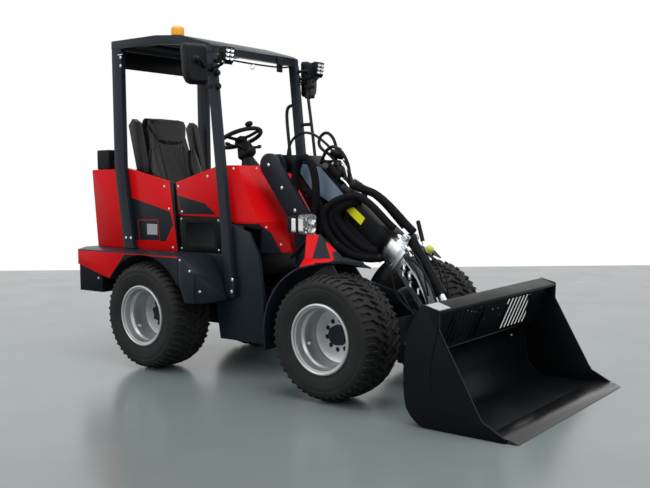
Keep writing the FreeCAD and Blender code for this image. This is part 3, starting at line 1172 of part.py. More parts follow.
def main():
    os.makedirs("parts", exist_ok=True)
    for name, x, side in (("front_right", 0.0, -1), ("front_left", 0.0, 1),
                          ("rear_right", REAR_AXLE_X, -1), ("rear_left", REAR_AXLE_X, 1)):
        export("tyre_" + name, tyre(x, side))
        export("rim_" + name, rim(x, side))
    export("rear_chassis", rear_chassis())
    export("power_block", power_block())
    export("rear_axle", axle(REAR_AXLE_X))
    export("rear_wings", rear_wings())
    export("rear_counterweight", rear_counterweight())
    export("wing_flares", wing_flares())
    export("rear_hood", rear_hood())
    export("side_panels", [side_panel_rear(-1), side_panel_rear(1), side_panel_right_front()])
    export("storage_box_right", storage_box_right())
    export("lower_body", [lower_body_right(), entry_step_left()])
    export("floor_plate", floor_plate())
    export("seat_base", seat_base())
    export("seat_cushion", seat_cushion())
    export("seat_backrest", seat_backrest())
    export("seat_armrests", seat_armrests())
    export("steering_column", steering_column())
    export("steering_wheel", steering_wheel())
    export("front_cowl", front_cowl())
    export("rear_posts", rear_posts())
    export("front_posts", front_posts())
    export("canopy_roof", canopy_roof())
    export("rear_visor", rear_visor())
    export("mirrors", mirrors())
    export("work_lamps", work_lamps())
    export("beacon", beacon())
    export("grab_rails", grab_rails())
    export("air_box", air_box())
    export("front_chassis", front_chassis())
    export("boom_tower", boom_tower())
    export("front_axle", axle(0.0))
    export("front_fenders", front_fenders())
    export("tower_covers", tower_covers())
    export("headlamps", headlamps())
    export("boom_outer", boom_outer())
    export("boom_wear_pads", boom_wear_pads())
    export("boom_hoses", boom_hoses())
    export("boom_inner", boom_inner())
    export("hydraulic_coupler", hydraulic_coupler())
    export("tool_carrier", tool_carrier())
    export("bucket", bucket())
    export("bucket_edge", bucket_edge())
    for name, (barrel, bar) in (("lift", lift_cylinder()), ("tilt", tilt_cylinder()),
                                ("steer", steer_cylinder())):
        export(name + "_barrel", barrel)
        export(name + "_rod", bar)


if __name__ == "__main__":
    main()
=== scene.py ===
import copy
import json
import math
import bpy
from mathutils import Matrix, Vector


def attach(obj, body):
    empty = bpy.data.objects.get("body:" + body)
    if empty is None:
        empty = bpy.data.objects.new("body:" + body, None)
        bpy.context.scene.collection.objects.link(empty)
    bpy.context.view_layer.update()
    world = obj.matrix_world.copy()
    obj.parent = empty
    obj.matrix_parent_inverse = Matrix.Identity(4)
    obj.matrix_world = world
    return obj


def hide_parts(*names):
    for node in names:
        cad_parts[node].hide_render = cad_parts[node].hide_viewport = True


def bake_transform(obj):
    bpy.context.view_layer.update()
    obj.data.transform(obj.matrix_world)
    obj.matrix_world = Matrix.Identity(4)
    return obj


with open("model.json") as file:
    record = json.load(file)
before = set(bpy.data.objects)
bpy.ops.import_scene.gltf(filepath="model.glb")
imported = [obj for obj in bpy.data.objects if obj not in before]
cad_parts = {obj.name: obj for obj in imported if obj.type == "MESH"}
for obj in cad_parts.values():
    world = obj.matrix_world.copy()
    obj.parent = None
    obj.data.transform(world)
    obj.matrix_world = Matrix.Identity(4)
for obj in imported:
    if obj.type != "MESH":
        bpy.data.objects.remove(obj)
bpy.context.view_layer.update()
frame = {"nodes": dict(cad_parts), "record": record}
nodes = frame["nodes"]
rad, sin, cos, pi = math.radians, math.sin, math.cos, math.pi
scene = bpy.context.scene

FRONT_X = 0.576                 # front axle
REAR_X = -0.969                 # rear axle
AXLE_Z = 0.372
HALF_TRACK = 0.511
TYRE_R = 0.372
PANEL_Y = 0.3995                # outer face of the side panels
POST_Y = 0.4455                 # outer face of the canopy posts
COVER_Y = 0.1938                # outer face of the tower covers
RAIL_Y = 0.423                  # grab rails, on the left
BOX_Y = 0.3955                  # door of the storage box, on the right
SHELL_Y = 0.404                 # inner edge of the front fenders' outer faces
SHELL_R = 0.4362                # just over the underside of the front fenders
SIDES = ((1, "left"), (-1, "right"))


# ---- Modelling by hand, in small steps ----

def mm(points):
    """Points in millimetres, in metres."""
    return [tuple(v / 1000 for v in p) for p in points]


def upright(y, points):
    """Points (x, z) of an upright plane, in millimetres, at one y in metres."""
    return [(x / 1000, y, z / 1000) for x, z in points]


def clear():
    if bpy.context.object and bpy.context.object.mode != "OBJECT":
        bpy.ops.object.mode_set(mode="OBJECT")
    bpy.ops.object.select_all(action="DESELECT")


def only(piece):
    clear()
    piece.select_set(True)
    bpy.context.view_layer.objects.active = piece
    return piece


def settle(piece):
    only(piece)
    bpy.ops.object.transform_apply(location=True, rotation=True, scale=True)
    return piece


def moved(piece, matrix):
    """Move a piece's mesh by a matrix."""
    piece.data.transform(matrix)
    return piece


def about(spot, degrees, axis):
    """A turn about a point."""
    return Matrix.Translation(spot) @ Matrix.Rotation(rad(degrees), 4, axis) @ Matrix.Translation(-Vector(spot))


def named(name):
    piece = bpy.context.object
    piece.name = piece.data.name = name
    return piece


def block(name, low, high):
    """Box between two corners."""
    clear()
    low, high = Vector(low), Vector(high)
    bpy.ops.mesh.primitive_cube_add(size=1, location=(low + high) / 2)
    piece = named(name)
    piece.scale = high - low
    return settle(piece)


def drum(name, start, end, radius, sides=32, far_radius=None):
    """Round bar or cone between two points."""
    clear()
    start, end = Vector(start), Vector(end)
    run = end - start
    bpy.ops.mesh.primitive_cone_add(vertices=sides, radius1=radius, depth=run.length,
        radius2=radius if far_radius is None else far_radius, location=(start + end) / 2,
        rotation=run.to_track_quat("Z", "Y").to_euler())
    return settle(named(name))


def edit_all(piece):
    """Enter edit mode with everything selected."""
    only(piece)
    bpy.ops.object.mode_set(mode="EDIT")
    bpy.ops.mesh.select_all(action="SELECT")


def leave():
    bpy.ops.object.mode_set(mode="OBJECT")


def pick(piece, test):
    """Select the faces whose place and facing pass the test, in edit mode."""
    only(piece)
    bpy.ops.object.mode_set(mode="EDIT")
    bpy.ops.mesh.select_mode(type="FACE")
    bpy.ops.mesh.select_all(action="DESELECT")
    leave()
    for f in piece.data.polygons:
        f.select = bool(test(f.center, f.normal))
    bpy.ops.object.mode_set(mode="EDIT")


def facing(axis, sign=1, limit=0.9):
    """Test for the faces that look one way along an axis."""
    return lambda c, n: getattr(n, axis) * sign > limit


def inset(piece, test, thickness, depth=0.0):
    """Inset the faces that pass the test, raised or sunk by a depth."""
    pick(piece, test)
    bpy.ops.mesh.inset(thickness=thickness, depth=depth)
    leave()


def push(piece, test, move, scale=None):
    """Extrude the faces that pass the test, then move and scale them."""
    pick(piece, test)
    bpy.ops.mesh.extrude_region_move(TRANSFORM_OT_translate={"value": move})
    if scale:
        bpy.ops.transform.resize(value=scale)
    leave()


def modified(piece, kind, **settings):
    """Add a modifier with its settings and apply it."""
    only(piece)
    mod = piece.modifiers.new(kind.lower(), kind)
    for key, value in settings.items():
        setattr(mod, key, value)
    bpy.ops.object.modifier_apply(modifier=mod.name)
    return piece


def bevel(piece, width, segments=2, angle=30):
    """Round the edges that are sharper than the angle."""
    return modified(piece, "BEVEL", width=width, segments=segments, angle_limit=rad(angle), limit_method="ANGLE",
        use_clamp_overlap=True)


def tidy_faces(piece):
    """Join doubled corners and turn the faces outward."""
    edit_all(piece)
    bpy.ops.mesh.remove_doubles(threshold=0.00005)
    bpy.ops.mesh.normals_make_consistent(inside=False)
    leave()
    return piece


def smooth(piece, angle=32):
    only(piece)
    bpy.ops.object.shade_smooth_by_angle(angle=rad(angle))
    return piece


def carve(piece, cutters):
    """Cut holes with solids that are then thrown away."""
    for cutter in cutters:
        modified(piece, "BOOLEAN", operation="DIFFERENCE", object=cutter, solver="EXACT")
        bpy.data.objects.remove(cutter)
    return piece


def joined(name, pieces):
    clear()
    for p in pieces:
        p.select_set(True)
    bpy.context.view_layer.objects.active = pieces[0]
    if len(pieces) > 1:
        bpy.ops.object.join()
    return named(name)


def copied(piece, name, place=None):
    """A copy with a mesh of its own, placed by a matrix."""
    twin = piece.copy()
    twin.data = piece.data.copy()
    twin.name = twin.data.name = name
    scene.collection.objects.link(twin)
    if place is not None:
        twin.data.transform(place)
        if place.determinant() < 0:
            twin.data.flip_normals()
    return twin


ACROSS = Matrix.Scale(-1, 4, (0, 1, 0))


def sided(piece, side):
    """Mirror a left-hand piece that is wanted on the right."""
    if side < 0:
        piece.data.transform(ACROSS)
        piece.data.flip_normals()
    return piece


def linked(name, data):
    piece = bpy.data.objects.new(name, data)
    scene.collection.objects.link(piece)
    return piece


def meshed(name, points, edges, faces):
    mesh = bpy.data.meshes.new(name)
    mesh.from_pydata(points, edges, faces)
    return linked(name, mesh)


def outline_solid(name, points, move):
    """Flat outline drawn out along a vector."""
    clear()
    piece = meshed(name, [Vector(p) for p in points], [], [range(len(points))])
    pick(piece, lambda c, n: True)
    bpy.ops.mesh.extrude_region_move(TRANSFORM_OT_translate={"value": move})
    bpy.ops.mesh.select_all(action="SELECT")
    bpy.ops.mesh.normals_make_consistent(inside=False)
    leave()
    return piece


def turned(name, profile, centre, axis=(0, 1, 0), steps=64, closed=False):
    """Spin a profile of (along, radius) round an axis through the centre."""
    clear()
    centre, along = Vector(centre), Vector(axis).normalized()
    out = Vector((0, 0, 1)) if abs(along.z) < 0.9 else Vector((1, 0, 0))
    out = (out - along * out.dot(along)).normalized()
    edges = [(i, i + 1) for i in range(len(profile) - 1)]
    if closed:
        edges.append((len(profile) - 1, 0))
    piece = meshed(name, [centre + along * y + out * r for y, r in profile], edges, [])
    edit_all(piece)
    bpy.ops.mesh.spin(steps=steps, angle=2 * pi, center=centre, axis=along)
    leave()
    return tidy_faces(piece)


def hose(name, points, radius, resolution=6, sides=3):
    """Round hose along a smooth line, as a mesh."""
    clear()
    curve = bpy.data.curves.new(name, "CURVE")
    curve.dimensions = "3D"
    curve.resolution_u, curve.bevel_depth, curve.bevel_resolution = resolution, radius, sides
    curve.use_fill_caps = True
    line = curve.splines.new("NURBS")
    line.points.add(len(points) - 1)
    for p, q in zip(line.points, points):
        p.co = (*q, 1.0)
    line.order_u = 3
    line.use_endpoint_u = True
    only(linked(name, curve))
    bpy.ops.object.convert(target="MESH")
    return smooth(named(name), 60)


def done(piece, body, look, replaces=()):
    """Give a finished piece its material and the body it rides on."""
    piece.data.materials.clear()
    piece.data.materials.append(look.mat)
    if body:
        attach(piece, body)
    if replaces:
        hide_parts(*replaces)
    return piece


def dressed(node, name, body, look, width=0.003, segments=2):
    """A solid's own shape with its faces joined and its edges rounded."""
    piece = copied(nodes[node], name)
    piece.parent = None
    for key in [k for k in piece.keys() if k.startswith("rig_")]:
        del piece[key]
    piece.matrix_world = Matrix.Identity(4)
    edit_all(piece)
    bpy.ops.mesh.remove_doubles(threshold=0.00002)
    bpy.ops.mesh.dissolve_limited(angle_limit=rad(1.0))
    leave()
    bevel(piece, width, segments, 25)
    return done(smooth(piece, 35), body, look, (node,))


def line_run(name, points, radius, body, look, sides=4, resolution=8):
    """A hose, pipe or cable that is finished in one go."""
    return done(hose(name, points, radius, resolution, sides), body, look)


# ---- Shader arithmetic ----

class Field:
    """A value on a surface: a node's output that takes part in plain arithmetic."""

    def __init__(self, tree, socket):
        self.tree, self.socket = tree, socket

    def _op(self, kind, a, b):
        n = self.tree.nodes.new("ShaderNodeMath")
        n.operation = kind
        for i, v in enumerate((a, b)):
            if isinstance(v, Field):
                self.tree.links.new(v.socket, n.inputs[i])
            elif v is not None:
                n.inputs[i].default_value = v
        return Field(self.tree, n.outputs[0])

    def __add__(self, o): return self._op("ADD", self, o)
    def __sub__(self, o): return self._op("SUBTRACT", self, o)
    def __mul__(self, o): return self._op("MULTIPLY", self, o)
    def __gt__(self, o): return self._op("GREATER_THAN", self, o)
    def __abs__(self): return self._op("ABSOLUTE", self, None)
    def low(self, o): return self._op("MINIMUM", self, o)
    def high(self, o): return self._op("MAXIMUM", self, o)
    def wave(self): return self._op("SINE", self, None)


class Finish:
    """One material with its nodes, and the slot of the pieces that wear it."""

    def __init__(self, name, slot, color, roughness=0.4, metallic=0.0, **constants):
        self.slot = slot
        self.mat = bpy.data.materials.new(name)
        self.mat.use_nodes = True
        self.tree = self.mat.node_tree
        self.shader = self.tree.nodes["Principled BSDF"]
        self.set("Base Color", (*color, 1.0))
        self.set("Roughness", roughness)
        self.set("Metallic", metallic)
        for k, v in constants.items():
            self.set(k if k.isupper() else k.replace("_", " ").title().replace("Ior", "IOR"), v)
        self.mat.diffuse_color = (*color, 1.0)

    def under(self, slot):
        """The same material for a piece of another slot."""
        twin = copy.copy(self)
        twin.slot = slot
        return twin

    def set(self, socket, value):
        s = self.shader.inputs[socket]
        if isinstance(value, Field):
            self.tree.links.new(value.socket, s)
        else:
            s.default_value = value

    def node(self, kind, settings=None, inputs=None, out=0):
        """Any node: its settings first, then the values or links of its sockets."""
        n = self.tree.nodes.new("ShaderNode" + kind)
        for k, v in (settings or {}).items():
            setattr(n, k, v)
        for k, v in (inputs or {}).items():
            if isinstance(v, Field):
                self.tree.links.new(v.socket, n.inputs[k])
            else:
                n.inputs[k].default_value = v
        return Field(self.tree, n.outputs[out])

    def spot(self):
        """Object coordinates in metres."""
        return self.node("TexCoord", out=3)

    def axes(self):
        co = self.spot()
        return [self.node("SeparateXYZ", None, {0: co}, out=i) for i in range(3)]

    def noise(self, scale, detail=3.0, rough=0.5):
        return self.node("TexNoise", None, {"Vector": self.spot(), "Scale": scale, "Detail": detail,
            "Roughness": rough})

    def uneven(self, spread, low, *noise):
        """Roughness that varies upwards from a lowest value."""
        self.set("Roughness", self.noise(*noise) * spread + low)

    def mix(self, factor, a, b):
        """Blend of two colours by a factor."""
        a = a if isinstance(a, Field) else (*a, 1.0)
        b = b if isinstance(b, Field) else (*b, 1.0)
        return self.node("Mix", {"data_type": "RGBA"}, {0: factor, 6: a, 7: b}, out=2)

    def zone(self, corners, first=0, second=2):
        """One inside a convex outline, given anticlockwise on two of the axes."""
        at = self.axes()
        u, v = at[first], at[second]
        inside = None
        for (x0, y0), (x1, y1) in zip(corners, corners[1:] + corners[:1]):
            left = (v * (x1 - x0) - u * (y1 - y0)) > (y0 * (x1 - x0) - x0 * (y1 - y0))
            inside = left if inside is None else inside * left
        return inside

    def fields(self, base, *layers, plane=(0, 2)):
        """Colour fields laid over a base: convex outlines, each with its colour."""
        for corners, colour in layers:
            base = self.mix(self.zone(corners, *plane), base, colour)
        return base

    def bump(self, height, strength=0.3, distance=0.001):
        bumped = self.node("Bump", None, {"Height": height, "Strength": strength, "Distance": distance})
        self.set("Normal", bumped)


def painted(name, slot, color, roughness, dust, coat=0.0, shine=0.5, zones=None):
    """Sprayed enamel: faint orange peel, uneven gloss, a little dust, and colour fields of its own."""
    f = Finish(name, slot, color, roughness, coat_roughness=0.08, specular_ior_level=shine)
    f.set("Coat Weight", coat)
    grime = f.noise(6.0, 5.0, 0.6)
    fine = f.noise(900.0, 2.0)
    tone = (grime - 0.35) * (dust * 2.2)
    base = zones(f, color) if zones else color
    f.set("Base Color", f.mix(tone.high(0.0), base, [min(1.0, c * 0.6 + 0.12) for c in color]))
    f.set("Roughness", grime * 0.16 + (roughness - 0.08))
    f.bump(fine * 0.04 + grime * 0.02, 0.35, 0.0008)
    return f


RED = (0.76, 0.003, 0.006)
DARK = (0.011, 0.0165, 0.024)
RED_COAT = {"slot": "red_paint", "color": RED, "roughness": 0.36, "dust": 0.008, "coat": 0.03, "shine": 0.14}
DARK_COAT = {"slot": "dark_paint", "color": DARK, "roughness": 0.38, "dust": 0.02, "shine": 0.16}


def panel_zones(f, color):
    """Dark fields, a thin red frame and the black strip of the side panels."""
    return f.fields(color, (mm([(-1440, 864), (-1008, 864), (-926, 987), (-957, 1076), (-1440, 1188)]), DARK),
        (mm([(-1352, 864), (-1347, 864), (-1377, 1140), (-1382, 1140)]), color),
        (mm([(-1286, 862), (-1066, 865.5), (-1084.5, 1016.5), (-1304.5, 1012.5)]), color),
        (mm([(-1281.5, 865.5), (-1070.5, 869.5), (-1088.5, 1012.5), (-1299.5, 1008.5)]), DARK),
        (mm([(-884, 780), (-800, 780), (-850, 1050), (-890, 1300), (-957, 1300)]), (0.004, 0.004, 0.005)),
        (mm([(-845, 1061), (-503, 1061), (-605, 1135), (-874, 1190)]), DARK))


def fender_zones(f, color):
    """Red outer faces of the front fenders over their dark shells."""
    x, y, z = f.axes()
    away = (x - FRONT_X) * (x - FRONT_X) + (z - AXLE_Z) * (z - AXLE_Z)
    outer = (abs(y) > SHELL_Y) * (away > SHELL_R ** 2)
    field = f.zone(mm([(240, 742), (400, 750), (536, 780), (540, 812), (424, 966), (240, 966)]))
    base = f.mix(field * outer, color, RED)
    return f.mix(f.zone(mm([(372, 813), (510, 820), (400, 962), (372, 962)])) * outer, base, DARK)


def cowl_zones(f, color):
    """Dark lower flanks of the cowl either side of its red tip."""
    right = mm([(-420, 790), (-138, 790), (-194, 936), (-279, 1002), (-420, 1004)])
    left = [(-y, z) for y, z in reversed(right)]
    return f.fields(color, (right, DARK), (left, DARK), plane=(1, 2))


def wing_zones(f, color):
    """Dark tops and arches of the rear wings behind their red corner."""
    arch = f.zone(mm([(-550, 580), (-550, 784), (-1150, 784), (-1332, 600), (-1332, 580)]))
    top = f.axes()[2] > 0.7915
    return f.mix(arch.high(top), color, DARK)


def roof_zones(f, color):
    """Pale sunken strip along the front beam of the roof."""
    front = f.axes()[0] > -0.4745
    strip = f.zone(mm([(-360, 2143), (0, 2150), (360, 2150), (360, 2163), (0, 2181), (-200, 2179),
        (-360, 2170)]), 1, 2)
    return f.mix(strip * front, color, (0.13, 0.165, 0.175))


red_paint = painted("red_enamel", **RED_COAT)
panel_paint = painted("panel_enamel", zones=panel_zones, **RED_COAT)
fender_paint = painted("fender_enamel", "dark_paint", DARK, 0.38, dust=0.015, shine=0.18, zones=fender_zones)
dark_paint = painted("dark_enamel", **DARK_COAT)
black_paint = painted("black_enamel", "black_paint", (0.0035, 0.0042, 0.0055), 0.38, dust=0.004, shine=0.09)
cowl_paint = painted("cowl_enamel", zones=cowl_zones, **RED_COAT)
wing_paint = painted("wing_enamel", zones=wing_zones, **RED_COAT)
roof_paint = painted("roof_enamel", zones=roof_zones, **DARK_COAT)
plate_silver = Finish("rim_silver", "silver_paint", (0.50, 0.51, 0.52), 0.34, 0.75)
spots = plate_silver.noise(14.0, 4.0)
plate_silver.set("Roughness", spots * 0.2 + 0.26)
plate_silver.set("Base Color", plate_silver.mix(spots.high(0.55) * 0.5, (0.54, 0.55, 0.56), (0.36, 0.36, 0.36)))
plate_silver.bump(plate_silver.noise(700.0), 0.12, 0.0004)

zinc = Finish("zinc_plate", "zinc_steel", (0.66, 0.69, 0.72), 0.36, 1.0)
bloom = zinc.noise(26.0, 6.0, 0.65)
zinc.set("Base Color", zinc.mix(bloom, (0.74, 0.77, 0.80), (0.42, 0.45, 0.47)))
zinc.set("Roughness", bloom * 0.3 + 0.22)
zinc.bump(bloom, 0.1, 0.0005)

chrome = Finish("rod_chrome", "rod_chrome", (0.82, 0.82, 0.83), 0.07, 1.0)
chrome.uneven(0.06, 0.04, 40.0, 3.0)

rubber = Finish("tyre_rubber", "tyre_rubber", (0.017, 0.017, 0.018), 0.72, specular_ior_level=0.2)
mud = rubber.noise(9.0, 5.0, 0.6)
rubber.set("Base Color", rubber.mix((mud - 0.42).high(0.0) * 0.9, (0.016, 0.016, 0.017), (0.055, 0.052, 0.048)))
rubber.set("Roughness", mud * 0.2 + 0.56)
rubber.bump(rubber.noise(380.0, 3.0) * 0.6 + mud * 0.3, 0.3, 0.0006)

plastic = Finish("black_plastic", "black_plastic", (0.006, 0.0068, 0.008), 0.5, specular_ior_level=0.14)
grain = plastic.noise(1400.0, 2.0)
plastic.uneven(0.2, 0.38, 11.0, 4.0)
plastic.bump(grain, 0.22, 0.0003)

vinyl = Finish("seat_vinyl", "seat_vinyl", (0.006, 0.0062, 0.0075), 0.34, specular_ior_level=0.42)
pores = vinyl.node("TexVoronoi", {"feature": "DISTANCE_TO_EDGE"}, {"Vector": vinyl.spot(), "Scale": 520.0})
vinyl.uneven(0.22, 0.33, 13.0, 4.0)
vinyl.bump(pores.low(0.25) * 2.0 + vinyl.noise(60.0, 4.0) * 0.5, 0.3, 0.0005)

hose_rubber = Finish("hose_rubber", "hose_rubber", (0.006, 0.006, 0.0075), 0.5, specular_ior_level=0.2)
hose_rubber.uneven(0.25, 0.4, 20.0)
hose_rubber.bump(hose_rubber.noise(1100.0), 0.25, 0.0003)

sleeve = Finish("woven_sleeve", "hose_rubber", (0.006, 0.006, 0.0078), 0.7, specular_ior_level=0.08)
sx, sy, sz = sleeve.axes()
threads = ((sx + sz) * 1800.0).wave() * ((sx - sz + sy) * 1800.0).wave()
sleeve.set("Roughness", threads * 0.1 + 0.68)
sleeve.bump(threads, 0.5, 0.0008)

lens = Finish("lamp_lens", "lamp_lens", (0.92, 0.95, 0.97), 0.06, 0.0, transmission_weight=0.92, IOR=1.45)
lens.uneven(0.06, 0.03, 60.0)

led = Finish("lamp_reflector", "rod_chrome", (0.78, 0.78, 0.80), 0.12, 1.0)
led.uneven(0.2, 0.08, 120.0)

amber = Finish("amber_lens", "amber_lens", (1.0, 0.44, 0.006), 0.14, 0.0, transmission_weight=0.25, IOR=1.48)
amber.uneven(0.1, 0.1, 70.0)

cast = Finish("cast_iron_paint", "cast_dark", (0.006, 0.008, 0.011), 0.6, specular_ior_level=0.09)
cast.uneven(0.25, 0.45, 30.0, 5.0)
cast.bump(cast.noise(160.0, 5.0, 0.7), 0.5, 0.0012)

worn = Finish("worn_edge_steel", "edge_steel", (0.008, 0.008, 0.009), 0.24, specular_ior_level=0.5)
scuff = worn.noise(30.0, 6.0, 0.7)
worn.set("Base Color", worn.mix((scuff - 0.62).high(0.0) * 2.4, (0.007, 0.0075, 0.0085), (0.16, 0.15, 0.145)))
worn.set("Roughness", scuff * 0.22 + 0.12)
worn.bump(scuff, 0.12, 0.0004)

yellow_plate = painted("yellow_plate", "zinc_steel", (1.0, 0.93, 0.02), 0.36, dust=0.0, shine=0.2)
pale_plate = painted("pale_plate", "zinc_steel", (0.42, 0.43, 0.45), 0.34, dust=0.04)
mirror_glass = Finish("mirror_glass", "rod_chrome", (0.75, 0.77, 0.80), 0.03, 1.0)
mirror_glass.uneven(0.03, 0.02, 9.0)
grip_rubber = Finish("grip_rubber", "black_plastic", (0.010, 0.010, 0.011), 0.58, specular_ior_level=0.2)
grip_rubber.bump(grip_rubber.noise(500.0), 0.3, 0.0004)
brass_green = painted("dust_cap", "zinc_steel", (0.62, 0.66, 0.06), 0.45, dust=0.03)
# Pale grey-blue paint that stands for light reflected off the boom's glossy dark side: a painted reflection.
painted_reflection_coat = painted("painted_reflection_grey_blue", "zinc_steel", (0.17, 0.23, 0.32), 0.42, dust=0.04, shine=0.3)

BY_SLOT = {look.slot: look for look in (red_paint, dark_paint, black_paint, plate_silver, zinc, chrome, rubber,
    plastic, vinyl, hose_rubber, lens, amber, cast, worn)}
slot_of = {s["node"]: s["material_slot"] for s in frame["record"]["subparts"]}
body_of = {n: b for b, ns in frame["record"]["behaviour"]["bodies"].items() for n in ns}
for node, obj in nodes.items():
    obj.data.materials.clear()
    obj.data.materials.append(BY_SLOT[slot_of[node]].mat)


# ---- Sheet metal and castings: the solids' own shapes with joined faces and rounded edges ----

EDGE_WIDTHS = {
    "power_block": 0.006,
    "rear_counterweight": 0.010,
    "wing_flares": 0.005,
    "rear_hood": 0.008,
    "storage_box_right": 0.004,
    "lower_body": 0.004,
    "floor_plate": 0.002,
    "seat_base": 0.006,
    "rear_posts": 0.005,
    "front_posts": 0.005,
    "rear_visor": 0.003,
    "front_chassis": 0.003,
    "rear_chassis": 0.003,
    "tower_covers": 0.005,
    "boom_outer": 0.006,
    "tool_carrier": 0.004,
    "boom_tower": 0.003,
    "air_box": 0.008,
}
for node, width in EDGE_WIDTHS.items():
    dressed(node, node + "_skin", body_of[node], BY_SLOT[slot_of[node]], width)
for node, look, width in (("canopy_roof", roof_paint, 0.006), ("side_panels", panel_paint, 0.003),
        ("front_fenders", fender_paint, 0.003), ("front_cowl", cowl_paint, 0.004), ("rear_wings", wing_paint, 0.004)):
    dressed(node, node + "_skin", body_of[node], look, width)
dressed("bucket_edge", "bucket_edge_bar", "tool", worn, 0.0015)


def screw(name, spot, out, body, radius=0.007):
    """Button-head screw with a hexagon socket, its head towards 'out'."""
    out = Vector(out).normalized()
    head = turned(name, [(0.0, radius * 1.25), (0.0008, radius * 1.3), (0.0012, radius), (0.003, radius * 0.86),
        (0.0042, radius * 0.45), (0.0025, radius * 0.42), (0.0025, 0.0)], spot, out, steps=18)
    return done(smooth(head), body, zinc)


for i, (x, z) in enumerate(((-1.011, 1.252), (-0.967, 1.095), (-0.935, 0.823), (-1.33, 0.885))):
    for side, tag in SIDES:
        screw("panel_screw_%d%s" % (i, tag[0]), (x, side * PANEL_Y, z), (0, side, 0), "rear_frame")
for i, (x, z) in enumerate(((-0.868, 1.252), (-0.58, 1.318), (-0.835, 1.077))):
    screw("front_panel_screw_%d" % i, (x, -PANEL_Y, z), (0, -1, 0), "rear_frame")
for i, (x, z) in enumerate(((-0.848, 1.025), (-0.848, 0.822), (-0.488, 1.022), (-0.488, 0.822))):
    screw("box_screw_%d" % i, (x, -BOX_Y, z), (0, -1, 0), "rear_frame", radius=0.006)
rating = bevel(block("blank_rating_plate", (-1.202, -0.4022, 0.906), (-1.092, -0.3990, 0.984)), 0.0008)
inset(rating, facing("y", -1), 0.006, -0.0004)
done(rating, "rear_frame", pale_plate)


# ---- Bucket: bent floor and back, slotted upper plate, folded lip, side cheeks ----

def tool_outline(points, y=0.0):
    return [(FRONT_X + x / 1000, y, z / 1000) for x, z in points]


B_HALF = 0.743                  # half width over the cheeks
CHEEK = 0.014
PLATE_LOW = -B_HALF + 0.002     # plates end inside the cheeks
PLATE_RUN = (0, 2 * B_HALF - 0.004, 0)
floor_bend = [(1088, 2), (745, 2), (712, 12), (686, 32), (660, 60), (640, 92), (628, 124), (623, 160), (620, 230),
    (622, 270), (630, 310), (645, 338), (668, 357), (696, 370)]
inner_bend = [(x + 8 * abs(dx), z + 8 * dz) for (x, z), (dx, dz) in zip(floor_bend,
    [(0, 1), (0, 1), (0.4, 0.9), (0.6, 0.8), (0.8, 0.6), (0.9, 0.4), (0.97, 0.25), (1, 0.1), (1, 0), (1, -0.1),
    (0.95, -0.3), (0.8, -0.6), (0.6, -0.8), (0.5, -0.9)])]
shell = outline_solid("shell", tool_outline(floor_bend + inner_bend[::-1], PLATE_LOW), PLATE_RUN)
upper = outline_solid("upper", tool_outline([(693, 370), (696.5, 368.5), (800, 600), (796.5, 601.5)], PLATE_LOW),
    PLATE_RUN)
SLOT_HALF = 0.0135              # half the width of a slot in the upper back
slot_cuts = []
for side, tag in SIDES:
    for i in range(8):
        y = (0.155 + i * 0.050) * side
        slot_cuts.append(block("slot_cut", (1.25, y - SLOT_HALF, 0.385), (1.40, y + SLOT_HALF, 0.575)))
carve(upper, [joined("slot_cuts", slot_cuts)])
lip = outline_solid("lip", tool_outline([(735, 643), (829, 614), (829, 598), (802, 598), (796, 610), (730, 630)],
    PLATE_LOW), PLATE_RUN)
cheek_line = [(737, 2), (1196, 2), (1196, 20), (1069, 86), (1052, 112), (826, 521), (829, 614), (822, 620),
    (735, 643), (722, 641), (700, 604), (644, 504), (622, 380), (613, 300), (613, 210), (617, 150), (622, 116),
    (631, 88), (652, 56), (680, 30), (704, 14)]
hook_line = [(591.3, 180), (591.3, 519), (549, 519), (549, 548), (621, 548), (764, 536), (688, 366), (640, 336),
    (625, 290), (628, 150), (650, 90)]
cheeks = [bevel(outline_solid("cheek", tool_outline(cheek_line, low), (0, CHEEK, 0)), 0.002)
    for low in (-B_HALF, B_HALF - CHEEK)]
hooks = [bevel(outline_solid("hook", tool_outline(hook_line, low), (0, 0.020, 0)), 0.002) for low in (0.180, -0.200)]
for part in (shell, lip):
    bevel(part, 0.0015)
bucket_body = joined("bucket_body", [shell, upper, lip] + cheeks + hooks)
done(smooth(bucket_body, 30), "tool", black_paint, ("bucket",))
weld_line = mm([(1397, 540), (1386, 470), (1366, 400), (1350, 300), (1352, 215), (1372, 165), (1415, 132),
    (1480, 112), (1560, 103), (1640, 98)])
for side, tag in SIDES:
    bead = [(x, side * (B_HALF + 0.0005), z) for x, z in weld_line]
    line_run("bucket_weld_" + tag, bead, 0.0024, "tool", black_paint, 2, 6)
    seam = [(x, side * (B_HALF - 0.0155), z + 0.001) for x, y, z in tool_outline(inner_bend[1:])]
    line_run("bucket_seam_" + tag, seam, 0.0040, "tool", black_paint, 2, 3)
    for i, (x, y, z) in enumerate(((1.2085, 0.505, 0.290), (1.3435, 0.035, 0.535), (1.3215, 0.095, 0.487))):
        screw("bucket_bolt_%s%d" % (tag, i), (x, y * side, z), (1, 0, -0.4), "tool",
            radius=0.010 if i == 0 else 0.007)
lip_plate = outline_solid("lip_plate", tool_outline([(746, 640.8), (822, 617.4), (822.5, 619.0), (746.5, 642.4)],
    -0.735), (0, 0.125, 0))
done(lip_plate, "tool", pale_plate)


# ---- Wheels ----

TREAD_PITCHES = 24
PITCH = 2 * pi * TYRE_R / TREAD_PITCHES
CROWN_R = 0.3575                # radius between the lugs, in the middle
CROWN_HALF = 0.128              # where the crown falls off to the shoulders
BOLT_HOLES = 10
BOLT_CIRCLE = 0.088


def carcass_r(y):
    """Radius of the tyre between its lugs, at a distance from the centre plane."""
    y = abs(y)
    crown = CROWN_R - 0.5 * y * y
    return crown if y < CROWN_HALF else crown - (y - CROWN_HALF) ** 2 * 13.0


